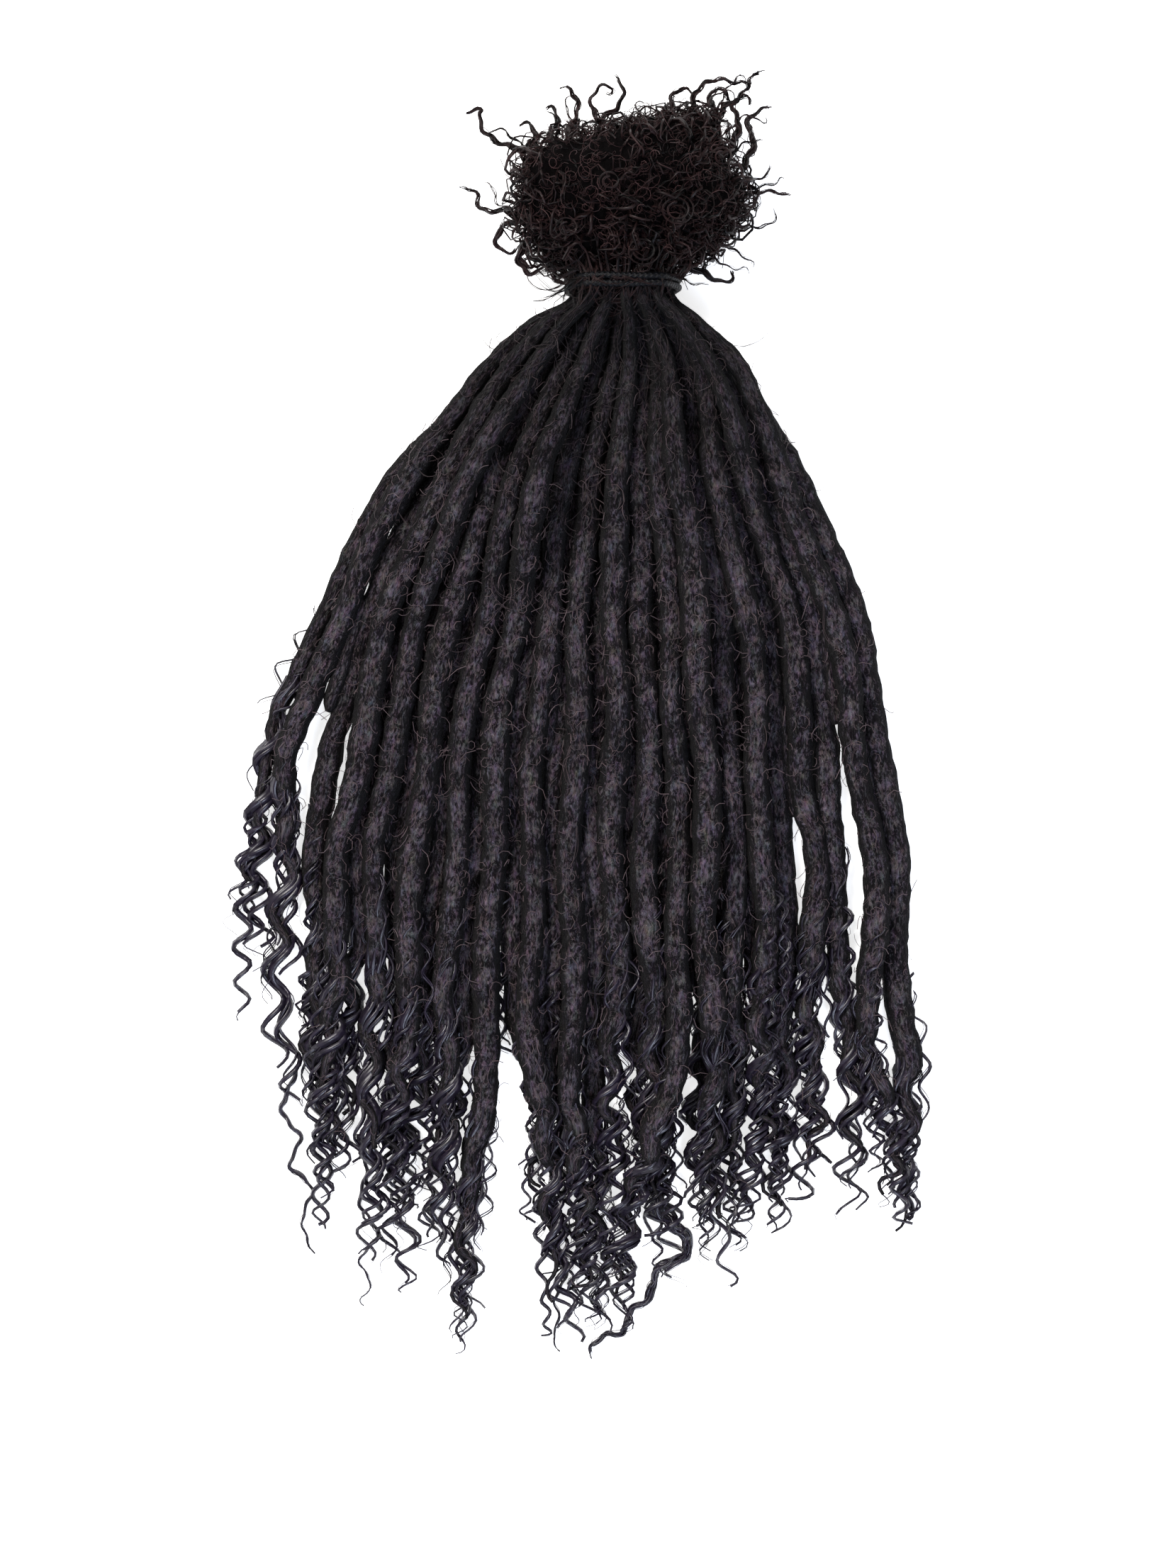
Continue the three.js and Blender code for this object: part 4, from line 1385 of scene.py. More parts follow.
# %% [markdown]
# Hairs that stray over the locs
# Some hairs work loose and lie across several locs, and at the shoulders so many do that the
# ridges look soft. Each starts on a loc, takes a heading near that of the loc, and curves at
# random. A ray from above finds the height of the locs under it, and the height is smoothed so
# that the hair spans the valleys, as a springy hair does. Others start above the elastic and
# lie over it, more of them on its left.

# %% Stray hairs laid over the locs
STRAYS = 250
COVERING_HAIRS = 90  # that lie over the elastic
STRAY_STEP = 1.5 * MM
STRAY_CLEAR = 0.35 * MM  # above what it lies on
STRAY_DRIFT = 0.5 * MM
RAY_START = 200 * MM


def solids_tree(names):
    """A tree for rays and near points over several solids of the frame."""
    vertices, polygons = [], []
    for name in names:
        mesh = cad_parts[name].data
        start = len(vertices)
        vertices += [vertex.co.copy() for vertex in mesh.vertices]
        polygons += [[start + k for k in polygon.vertices] for polygon in mesh.polygons]
    return BVHTree.FromPolygons(vertices, polygons)


def laid_over(tree, points, clear, floor):
    """The points on top of what is below them, or of a floor, with the valleys spanned."""
    heights = []
    for x, y in points:
        hit = tree.ray_cast(Vector((x, y, RAY_START)), Vector((0, 0, -1)))[0]
        heights.append(hit.z if hit else floor)
    heights = np.array(heights)
    for _ in range(2):
        padded = np.pad(heights, 1, mode="edge")
        heights = np.maximum(heights, (padded[:-2] + padded[2:]) / 2)
    padded = np.pad(heights, 2, mode="edge")
    heights = sum(padded[k : k + len(points)] for k in range(5)) / 5
    return np.column_stack([points, heights + clear])


def stray_guide(tree, place, heading, steps, rng, floor=0.0):
    """A hair from a place that curves at random over the solids of a tree."""
    turn = rng.normal() * 0.12
    points = []
    for _ in range(steps):
        points.append(place)
        place = place + STRAY_STEP * np.array([math.cos(heading), math.sin(heading)])
        turn += rng.normal() * 0.05
        heading += turn
    points = laid_over(tree, np.array(points), STRAY_CLEAR, floor)
    guide = still_guide(points, STRAY_DRIFT, 1.0)
    guide["depth"] = NECK.y - points[:, 1]
    return guide


print(f"{STRAYS} strays in steps of {STRAY_STEP / MM} mm")

# %% Comb the stray hairs
bundle_tree = solids_tree([*LOC_NAMES, "tie_elastic"])
rng = np.random.default_rng(17)
strays = []
for _ in range(STRAYS):
    rows, at, felt_end = LINES[f"loc_upper_{rng.integers(1, LOCS_A_LAYER + 1):02d}"]
    k = int(np.searchsorted(at, rng.uniform(6 * MM, felt_end) * rng.uniform(0.3, 1)))
    flow = rows[k + 1, :2] - rows[k, :2]
    heading = math.atan2(flow[1], flow[0]) + rng.normal() * 0.6
    place = rows[k, :2] + rng.uniform(-3, 3, 2) * MM
    strays.append(stray_guide(bundle_tree, place, heading, rng.integers(10, 26), rng))
over_elastic = []
for _ in range(COVERING_HAIRS):
    side = 1 - 2 * rng.beta(1.2, 1.6)
    place = np.array([NECK.x - side * 15 * MM, NECK.y + rng.uniform(3, 8) * MM])
    heading = -math.pi / 2 - 0.5 * side + rng.normal() * 0.5
    over_elastic.append(
        stray_guide(bundle_tree, place, heading, rng.integers(8, 20), rng, NECK.z + 9 * MM)
    )
for name, guides, tree, strands, thickness in (
    ("stray_hairs", strays, COMB_STRAYS, 2, 0.1 * MM),
    ("hairs_over_elastic", over_elastic, COMB_ROOTS, 4, 0.15 * MM),
):
    made = comb(name, guides, tree, strands=strands, thickness=thickness, drift_size=9 * MM, seed=90)
    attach(made, "root")
    print(f"{made.name}: {triangles(made)} triangles")

# %% [markdown]
# Locks drawn one by one
# A few locks of the curly ends stand out in the photograph, such as a thick one that lies
# aslant below the rest. Their bends are too free for a rule, so they are drawn point by point,
# and every hair in them has a small crimp of its own.

# %% Drawn locks of the curly ends
LOCKS = [
    {
        "hairs": 26, "girth": 1.6, "spread": 3.4, "rise": 3.0,
        "points": [(905, 1640), (926, 1690), (944, 1726), (972, 1754), (964, 1774), (932, 1786),
                   (920, 1814), (916, 1830), (886, 1850), (880, 1878), (852, 1884), (836, 1896),
                   (832, 1926)],
    },
    {
        "hairs": 12, "girth": 1.2, "spread": 1.6, "rise": 2.5,
        "points": [(836, 1640), (830, 1690), (846, 1740), (862, 1782), (838, 1806), (858, 1834),
                   (844, 1858)],
    },
    {
        "hairs": 10, "girth": 1.2, "spread": 1.4, "rise": 2.5,
        "points": [(776, 1620), (782, 1700), (776, 1760), (798, 1800), (782, 1832), (788, 1862),
                   (780, 1888), (796, 1914)],
    },
    {
        "hairs": 10, "girth": 1.3, "spread": 1.4, "rise": 2.0,
        "points": [(424, 1500), (410, 1530), (396, 1568), (424, 1606), (408, 1644), (440, 1676),
                   (426, 1716), (452, 1790)],
    },
    {
        "hairs": 9, "girth": 1.0, "spread": 0.9, "rise": 2.0,
        "points": [(506, 1600), (518, 1650), (508, 1700), (534, 1740), (506, 1780), (524, 1812),
                   (508, 1836), (520, 1852)],
    },
]
DRAWN_SPACING = 0.9 * MM
LOCK_CRIMP = {"crimp": 0.4 * MM, "crimp_pitch": 7 * MM}


def drawn_guide(points, heights, girth, spread, crimp, crimp_pitch):
    """A guide through points of the photograph at the given heights."""
    corners = np.array([photo_place(x, y, h) for (x, y), h in zip(points, heights)])
    places = along(corners)
    s = np.arange(0, places[-1], DRAWN_SPACING)
    t = s / s[-1]
    line = curve_through(places, corners, s)
    for _ in range(3):
        line[1:-1] = (line[:-2] + 2 * line[1:-1] + line[2:]) / 4
    flow = np.gradient(line, axis=0)
    across = np.cross(flow, (0, 0, 1))
    across /= np.linalg.norm(across, axis=1)[:, None]
    return {
        "points": line,
        "phase": math.tau * s / crimp_pitch,
        "swing": across * crimp,
        "lift": np.tile((0, 0, 0.5 * crimp), (len(s), 1)),
        "loose": spread * (1 - 0.75 * t) * np.minimum(1, 0.4 + 4 * t),
        "reach": t,
        "girth": girth * (1 - 0.35 * t),
    }


locks = []
for number, row in enumerate(LOCKS):
    n = len(row["points"])
    heights = [row["rise"] * MM * max(0.25, 1 - k / (0.7 * n)) for k in range(n)]
    guide = drawn_guide(row["points"], heights, row["girth"], row["spread"] * MM * 0.7, **LOCK_CRIMP)
    lock = comb(
        f"lock_{number + 1}",
        [guide],
        COMB_WAVY,
        strands=row["hairs"],
        thickness=0.28 * MM,
        core=2.2,
        phase_spread=9.0,
        shortest=0.85,
        drift_size=9 * MM,
        seed=20 + number,
    )
    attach(lock, "root")
    locks.append(lock)
print(f"{len(locks)} hand-drawn locks")

# %% [markdown]
# The heart of the puff
# The puff is a ball of kinky hair that nobody can see into. A dark, knotted heart stands for
# the hair deep inside, and keeps the light out. A grid of points fills the puff's solid, those
# near its skin or above the dense edge of the crown are left out, and a ball melts round each
# of the rest. Anything thin, such as a lock that stands out, is lost on the way, as it should.
# Small curls like the flyaway hairs of the locs, but tighter, are then scattered over its skin.

# %% Heart of the puff
GRID = 2.2 * MM
BALL = 2.6 * MM
BASE_INSET = 1.2 * MM
CROWN_INSET = 5.0 * MM
KNOT = 7 * MM
KNOT_IN = -1.6 * MM
KNOT_OUT = 1.2 * MM
CROWN_EDGE = [(690, 235), (740, 212), (800, 204), (850, 200), (880, 182), (940, 170), (1000, 162),
              (1040, 176), (1070, 225)]


def deep_points():
    """Grid points inside the puff's solid, deep enough in it and below the edge of its crown."""
    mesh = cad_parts["root_puff"].data
    skin = BVHTree.FromPolygons(
        [vertex.co for vertex in mesh.vertices], [polygon.vertices for polygon in mesh.polygons]
    )
    low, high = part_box("root_puff")
    edge = np.array([photo_place(x, y, (low.z + high.z) / 2) for x, y in CROWN_EDGE])
    deep = []
    for x in np.arange(low.x, high.x, GRID):
        crown = np.interp(x, edge[:, 0], edge[:, 1])
        for y in np.arange(low.y, min(high.y, crown), GRID):
            inset = BASE_INSET + (CROWN_INSET - BASE_INSET) * (y - low.y) / (high.y - low.y)
            for z in np.arange(low.z, high.z, GRID):
                place = Vector((x, y, z))
                nearest, normal, _, distance = skin.find_nearest(place)
                if distance > inset + BALL and (nearest - place).dot(normal) > 0:
                    deep.append(place)
    return deep


def ball_tree():
    """Melts a ball round every point into one body, and knots its skin."""
    tree, given, output = start_tree("heart_from_points", ball=BALL, grid=GRID, knot=KNOT)
    points = add_node(tree, "GeometryNodeMeshToPoints", {"Mesh": given["Geometry"]})
    cloud = add_node(
        tree,
        "GeometryNodePointsToVolume",
        {"Points": points.outputs[0], "Radius": given["Ball"], "Voxel Size": given["Grid"]},
        resolution_mode="VOXEL_SIZE",
    )
    body = add_node(tree, "GeometryNodeVolumeToMesh", {"Volume": cloud.outputs[0]})
    place = add_node(tree, "GeometryNodeInputPosition").outputs[0]
    even = add_node(
        tree, "GeometryNodeBlurAttribute", {"Value": place, "Iterations": 3}, data_type="FLOAT_VECTOR"
    )
    smooth = add_node(
        tree, "GeometryNodeSetPosition", {"Geometry": body.outputs[0], "Position": even.outputs[0]}
    )
    size = add_node(tree, "ShaderNodeMath", {0: 1.0, 1: given["Knot"]}, operation="DIVIDE").outputs[0]
    level = add_node(
        tree, "ShaderNodeTexNoise", {"Vector": place, "Scale": size, "Detail": 2.0}
    ).outputs["Fac"]
    push = add_node(
        tree,
        "ShaderNodeMapRange",
        {"Value": level, "From Min": 0.3, "From Max": 0.7, "To Min": KNOT_IN, "To Max": KNOT_OUT},
    ).outputs["Result"]
    normal = add_node(tree, "GeometryNodeInputNormal").outputs[0]
    push = add_node(
        tree, "ShaderNodeVectorMath", {0: normal, "Scale": push}, operation="SCALE"
    ).outputs[0]
    knotted = add_node(
        tree, "GeometryNodeSetPosition", {"Geometry": smooth.outputs[0], "Offset": push}
    )
    end_tree(tree, output, knotted.outputs[0], MATTED_HAIR)
    return tree


def heart_of_puff():
    deep = np.array(deep_points())
    cloud_mesh = bpy.data.meshes.new("deep_points")
    cloud_mesh.vertices.add(len(deep))
    cloud_mesh.vertices.foreach_set("co", deep.ravel())
    cloud = bpy.data.objects.new("deep_points", cloud_mesh)
    bpy.context.scene.collection.objects.link(cloud)
    heart = grow(cloud, ball_tree(), "puff_heart")
    bpy.data.objects.remove(cloud)
    print(f"{len(deep)} points deep in the puff, {len(heart.data.polygons)} faces")
    return heart


bare_heart = heart_of_puff()

# %% Frizz on the heart
FRIZZ = [
    {"turns": 1.3, "corners": 12, "start": 1.6, "end": 0.9, "rise": 4.0},
    {"turns": 0.7, "corners": 7, "start": 2.6, "end": 1.6, "rise": 2.5},
    {"turns": 1.8, "corners": 14, "start": 0.9, "end": 0.7, "rise": 5.0},
    {"turns": 0.5, "corners": 6, "start": 3.4, "end": 2.6, "rise": 3.5},
]


def frizzing_tree():
    tree, given, output = start_tree(
        "frizz_the_puff", hairs_a_square_metre=150000.0, hair_thickness=0.08 * MM, seed=5
    )
    matted = add_node(
        tree, "GeometryNodeSetMaterial", {"Geometry": given["Geometry"], "Material": MATTED_HAIR}
    )
    whole = add_node(tree, "GeometryNodeJoinGeometry")
    tree.links.new(matted.outputs[0], whole.inputs[0])
    tree.links.new(flyaways(tree, given, given["Geometry"], FRIZZ, ROOT_HAIR), whole.inputs[0])
    end_tree(tree, output, laid_on_table(tree, whole.outputs[0], LOWEST_SKIN))
    return tree


heart = grow(bare_heart, frizzing_tree(), "puff_heart_frizzed")
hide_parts("root_puff")
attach(heart, "root")
print(f"heart of the puff: {triangles(heart)} triangles")

# %% [markdown]
# Ringlets on the puff
# Kinky hair coils as it grows: each lock is a small, uneven helix, and thousands of them pass
# over and under each other. A guide starts at a chance place on the heart and walks over it,
# mostly away from the elastic, with its own bends. The combing tree swings the strands round
# that walk. A tree of surface instances would repeat one coil, but here no two are alike.

# %% Ringlets that walk over the heart
RINGLETS = 330
COLLAR_RINGLETS = 90  # more of them just above the elastic
COLLAR_CANDIDATES = 1400
COLLAR_HEIGHT = 16 * MM
RINGLET_STEP = 1.0 * MM


def surface_samples(mesh, count, rng):
    """Chance points on a mesh, spread evenly over its area, with the normals there."""
    areas = np.array([polygon.area for polygon in mesh.polygons])
    picks = rng.choice(len(areas), count, p=areas / areas.sum())
    return [(mesh.polygons[k].center.copy(), mesh.polygons[k].normal.copy()) for k in picks]


def walk(tree, start, normal, length, heading, rng, lift_off):
    """Points and normals of a walk over a surface that leaves it a little towards its end."""
    place, points, normals = start, [], []
    steps = max(6, int(length / RINGLET_STEP))
    turn = rng.uniform(-0.12, 0.12)
    for k in range(steps):
        t = k / (steps - 1)
        clear = (0.4 + lift_off * t * t) * MM
        points.append(place + normal * clear)
        normals.append(normal.copy())
        turn += rng.uniform(-0.07, 0.07)
        heading = heading - normal * heading.dot(normal)
        heading.normalize()
        heading.rotate(Quaternion(normal, turn))
        place, normal = tree.find_nearest(place + heading * RINGLET_STEP)[:2]
    return np.array(points), np.array(normals)


def ringlet_guide(tree, start, normal, rng, length, coil, pitch, lift_off):
    away = Vector((start.x - NECK.x, start.y - NECK.y, (start.z - NECK.z) * 0.5)).normalized()
    chance = Vector(rng.normal(size=3))
    chance = chance - normal * chance.dot(normal)
    heading = away + chance * 0.75
    points, normals = walk(tree, start, normal, length, heading, rng, lift_off)
    t = np.linspace(0, 1, len(points))
    tangent = np.gradient(points, axis=0)
    tangent /= np.linalg.norm(tangent, axis=1)[:, None] + 1e-9
    across = np.cross(tangent, normals)
    open_coil = coil * (0.4 + 0.6 * np.sin(math.pi * np.minimum(1, 0.2 + t)))
    phase = rng.uniform(0, math.tau) + np.cumsum(
        math.tau * RINGLET_STEP / (pitch * (1.15 - 0.35 * t))
    )
    return {
        "points": points + normals * (open_coil * 0.7)[:, None],
        "phase": phase,
        "swing": across * open_coil[:, None],
        "lift": normals * open_coil[:, None],
        "loose": np.full(len(points), 0.2 * MM),
        "reach": t,
        "girth": 1.15 - 0.4 * t,
    }


print(f"{RINGLETS} ringlets all over, and {COLLAR_RINGLETS} above the elastic")

# %% Comb the ringlets
heart_tree = BVHTree.FromPolygons(
    [vertex.co for vertex in bare_heart.data.vertices],
    [polygon.vertices for polygon in bare_heart.data.polygons],
)
rng = np.random.default_rng(7)
starts = surface_samples(bare_heart.data, RINGLETS, rng)
candidates = surface_samples(bare_heart.data, COLLAR_CANDIDATES, rng)
collar = [row for row in candidates if row[0].y < NECK.y + COLLAR_HEIGHT]
ringlets = []
for start, normal in starts + collar[:COLLAR_RINGLETS]:
    if start.z < 3 * MM and normal.z < -0.5:
        continue
    ringlets.append(
        ringlet_guide(
            heart_tree, start, normal, rng,
            length=rng.uniform(14, 30) * MM,
            coil=rng.uniform(1.2, 3.8) * MM,
            pitch=rng.uniform(6.5, 11) * MM,
            lift_off=rng.uniform(0, 5.0),
        )
    )
bpy.data.objects.remove(bare_heart)
for number, (group, settings) in enumerate(
    (
        (ringlets[::2], {"strands": 4, "thickness": 0.24 * MM, "core": 2.3}),
        (ringlets[1::2], {"strands": 4, "thickness": 0.15 * MM, "core": 1.6}),
    )
):
    made = comb(
        f"puff_ringlets_{number + 1}",
        group,
        COMB_ROOTS,
        drift_size=6 * MM,
        phase_spread=3.0,
        shortest=0.75,
        seed=40 + number,
        **settings,
    )
    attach(made, "root")
    print(f"{made.name}: {len(group)} ringlets, {triangles(made)} triangles")

# %% [markdown]
# Wisps at the puff's edge
# The puff has no hard edge. Longer curls that escape it are what one knows it by: horns at its
# upper corners, a heart-shaped pair in the middle, and loops at the lower left. They are drawn
# as the locks were, starting inside the puff, at about half its height. Each is a few
# crimped hairs round a thick one, which keeps it readable from far away.

# %% Drawn wisps of the puff
THICK_WISPS = [
    {"height": 20, "points": [(790, 250), (760, 222), (730, 207), (708, 204), (692, 196), (679, 176),
                              (676, 162), (683, 156), (666, 155), (650, 163)]},
    {"height": 22, "points": [(800, 230), (806, 178), (816, 160), (814, 140), (802, 124), (784, 123)]},
    {"height": 24, "points": [(862, 240), (850, 188), (846, 170), (834, 152), (836, 132), (852, 120),
                              (866, 124), (861, 133), (850, 131)]},
    {"height": 24, "points": [(850, 235), (846, 188), (852, 166), (872, 152), (878, 138), (879, 120),
                              (872, 112), (864, 103)]},
    {"height": 24, "points": [(985, 240), (976, 180), (979, 150), (980, 132), (996, 116), (1014, 111),
                              (1034, 116), (1053, 117), (1057, 140)]},
    {"height": 22, "points": [(960, 210), (946, 150), (950, 132), (964, 124), (978, 132), (990, 138)]},
    {"height": 22, "points": [(1020, 220), (1012, 176), (1022, 150), (1040, 142), (1052, 126),
                              (1062, 108), (1074, 98), (1083, 105)]},
    {"height": 22, "points": [(1000, 210), (1010, 160), (1000, 138), (1010, 124), (1024, 130), (1030, 146),
                              (1018, 152)]},
    {"height": 22, "points": [(1030, 220), (1042, 172), (1034, 148), (1046, 134), (1058, 140), (1060, 156)]},
    {"height": 20, "points": [(1046, 240), (1062, 196), (1054, 172), (1066, 158), (1080, 152), (1094, 146)]},
    {"height": 22, "points": [(764, 250), (746, 210), (756, 188), (742, 172), (726, 178)]},
    {"height": 22, "points": [(792, 230), (776, 190), (788, 168), (778, 150), (764, 156)]},
    {"height": 22, "points": [(826, 230), (822, 194), (812, 180), (820, 164)]},
    {"height": 20, "points": [(990, 300), (1040, 280), (1067, 272), (1088, 270), (1108, 273), (1122, 279)]},
    {"height": 16, "points": [(770, 300), (730, 302), (708, 298), (684, 298), (675, 292), (675, 278),
                              (664, 266), (643, 265)]},
    {"height": 14, "points": [(770, 300), (730, 310), (712, 318), (702, 328), (700, 346), (713, 357),
                              (728, 354), (738, 342)]},
    {"height": 14, "points": [(800, 320), (750, 338), (730, 358), (737, 379), (752, 387), (767, 378),
                              (772, 360)]},
    {"height": 14, "points": [(810, 330), (760, 334), (738, 346), (734, 366), (748, 378), (760, 366)]},
    {"height": 14, "points": [(830, 330), (790, 356), (778, 378), (784, 394), (800, 402), (816, 396),
                              (822, 378)]},
    {"height": 14, "points": [(840, 330), (800, 350), (790, 372), (797, 388), (812, 390), (820, 374)]},
    {"height": 16, "points": [(930, 340), (976, 376), (1000, 390), (1023, 398), (1037, 391), (1030, 378)]},
]
THIN_WISPS = [
    {"height": 22, "points": [(780, 240), (735, 205), (716, 188), (700, 180), (690, 190), (698, 200)]},
    {"height": 22, "points": [(800, 210), (806, 165), (796, 150), (802, 136), (812, 132)]},
    {"height": 22, "points": [(780, 220), (786, 172), (774, 156), (768, 152)]},
    {"height": 24, "points": [(900, 220), (905, 168), (896, 150), (905, 140), (914, 148)]},
    {"height": 24, "points": [(1000, 210), (998, 150), (1012, 132), (1030, 128), (1040, 140), (1028, 148)]},
    {"height": 22, "points": [(1010, 200), (1016, 146), (1030, 120), (1044, 106), (1056, 112), (1050, 124)]},
    {"height": 22, "points": [(1010, 230), (1040, 172), (1057, 161), (1072, 172), (1080, 174), (1080, 158)]},
    {"height": 22, "points": [(1020, 240), (1046, 204), (1057, 200), (1070, 198), (1083, 200)]},
    {"height": 20, "points": [(1040, 260), (1072, 250), (1086, 246), (1083, 234), (1090, 227)]},
    {"height": 20, "points": [(1030, 270), (1080, 262), (1096, 256), (1104, 250), (1112, 256)]},
    {"height": 18, "points": [(750, 290), (706, 290), (698, 280), (694, 260), (678, 258)]},
    {"height": 16, "points": [(970, 320), (1030, 350), (1050, 362), (1064, 374), (1058, 384)]},
    {"height": 16, "points": [(960, 340), (1010, 366), (1036, 380), (1052, 378), (1060, 390)]},
    {"height": 18, "points": [(980, 300), (1060, 320), (1084, 318), (1096, 302), (1088, 290)]},
    {"height": 22, "points": [(920, 230), (935, 165), (946, 140), (956, 136), (960, 146)]},
    {"height": 16, "points": [(900, 350), (940, 386), (968, 396), (988, 402), (1004, 398)]},
]
WISP_GIRTH = 1.2
WISP_CRIMP = {"crimp": 0.45 * MM, "crimp_pitch": 6 * MM}


def wisp_guides(table, spread):
    guides = []
    for row in table:
        n = len(row["points"])
        heights = [row["height"] * MM * (1 - 0.2 * k / n) for k in range(n)]
        guides.append(drawn_guide(row["points"], heights, WISP_GIRTH, spread, **WISP_CRIMP))
    return guides


for name, table, spread, settings in (
    ("thick", THICK_WISPS, 1.7, {"strands": 12, "thickness": 0.3 * MM, "core": 2.2}),
    ("thin", THIN_WISPS, 1.0, {"strands": 5, "thickness": 0.2 * MM}),
):
    made = comb(
        f"puff_wisps_{name}",
        wisp_guides(table, spread * MM),
        COMB_ROOTS,
        drift_size=7 * MM,
        phase_spread=8.0,
        shortest=0.9,
        seed=60,
        **settings,
    )
    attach(made, "root")
    print(f"{made.name}: {len(table)} wisps, {triangles(made)} triangles")

# %% [markdown]
# Coils that face up
# A few ringlets on top of the puff are seen from their ends, as flat rosettes of hair. Each is
# a spiral that lies on the other ringlets, and the combing tree gives it several strands.

# %% Rosettes on the puff
ROSETTES = [
    {"x": 907, "y": 349, "radius": 5.6, "turns": 2.4},
    {"x": 955, "y": 296, "radius": 5.8, "turns": 2.6},
    {"x": 1020, "y": 218, "radius": 4.0, "turns": 2.0},
    {"x": 800, "y": 318, "radius": 4.0, "turns": 1.8},
    {"x": 860, "y": 260, "radius": 3.6, "turns": 1.8},
]
ROSETTE_HEIGHT = 40 * MM  # at which its pixel is read
ABOVE_PUFF = 100 * MM
ROSETTE_CLEAR = 9.5 * MM  # above the heart, and so above the ringlets on it
ROSETTE_DRIFT = 0.34 * MM
POINTS_A_TURN = 26

rosettes = []
for row in ROSETTES:
    centre = photo_place(row["x"], row["y"], ROSETTE_HEIGHT)
    above = Vector((centre[0], centre[1], ABOVE_PUFF))
    top = heart_tree.ray_cast(above, Vector((0, 0, -1)))[0]
    turns = np.linspace(0.25, row["turns"], int(POINTS_A_TURN * row["turns"]))
    radius = row["radius"] * MM * (0.35 + 0.65 * turns / row["turns"])
    angle = math.tau * turns
    points = np.stack(
        [
            top.x + radius * np.cos(angle),
            top.y + 0.9 * radius * np.sin(angle),
            top.z + ROSETTE_CLEAR - radius * 0.3,
        ],
        axis=1,
    )
    rosettes.append(still_guide(points, ROSETTE_DRIFT, 1.1))
made = comb(
    "puff_rosettes",
    rosettes,
    COMB_ROOTS,
    strands=11,
    thickness=0.15 * MM,
    drift_size=9 * MM,
    seed=81,
)
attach(made, "root")
print(f"{made.name}: {triangles(made)} triangles")

# %% [markdown]
# From the elastic into the puff
# Just above the elastic the hair of all the locs runs straight up and opens into the puff. It
# also hides where the solids of the locs end. Strands start on the rim of the bundle under the
# elastic and fan out over the puff's underside and its lower part.

# %% Stem of the puff
STEM_LOCKS = 48
STEM_POINTS = 18
STEM_INSET = 2.0 * MM  # from the outside of the elastic
STEM_BELOW = 1.5 * MM  # the elastic's middle
STEM_WAVE = 8 * MM
LOWEST_TIP = 1.5 * MM

low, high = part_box("tie_elastic")
half_width = (high.x - low.x) / 2 - STEM_INSET
half_height = (high.z - low.z) / 2 - STEM_INSET
stem = []
rng = np.random.default_rng(11)
for k in range(STEM_LOCKS):
    angle = math.tau * (k + rng.uniform(-0.3, 0.3)) / STEM_LOCKS
    side = Vector((math.cos(angle), 0, math.sin(angle)))
    root = Vector((NECK.x + side.x * half_width, NECK.y - STEM_BELOW, NECK.z + side.z * half_height))
    reach = rng.uniform(11, 24) * MM
    tip = root + Vector((side.x * reach * 0.95, reach, side.z * reach * 0.55))
    tip.z = max(tip.z, LOWEST_TIP)
    t = np.linspace(0, 1, STEM_POINTS)[:, None]
    bow = np.array(root) * (1 - t) + np.array(tip) * t
    bow[:, 1] += (reach * 0.22 * np.sin(math.pi * t))[:, 0]
    t = t[:, 0]
    across = np.array(Vector((0, 1, 0)).cross(side).normalized())
    coil = rng.uniform(0.4, 1.6) * MM * ease(0.15, 0.8, t)
    stem.append(
        {
            "points": bow,
            "phase": rng.uniform(0, math.tau) + math.tau * reach / STEM_WAVE * t,
            "swing": across * coil[:, None],
            "lift": np.array(side) * coil[:, None],
            "loose": (0.35 + 0.5 * t) * MM,
            "reach": t,
            "girth": 1.1 - 0.3 * t,
        }
    )
made = comb(
    "puff_stem",
    stem,
    COMB_ROOTS,
    strands=6,
    thickness=0.24 * MM,
    drift_size=6 * MM,
    shortest=0.75,
    seed=70,
)
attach(made, "root")
print(f"{made.name}: {triangles(made)} triangles")

# %% [markdown]
# The hair elastic
# A covered hair elastic is a rubber core in a braided sleeve of polyester thread. It is wound
# twice, and the two turns lie side by side with a little slack. The ring is read from its
# solid, and a tree sweeps a circle along each turn. The braid is drawn by
# the material in the tube's own directions, because its threads are only 0.3 mm wide.

# %% Braided elastic material
SLEEVE_DARK = "#010101"
SLEEVE_LIGHT = "#05060b"
BRAID_PITCH = 1.6 * MM
BRAID_THREADS = 4  # that slant each way


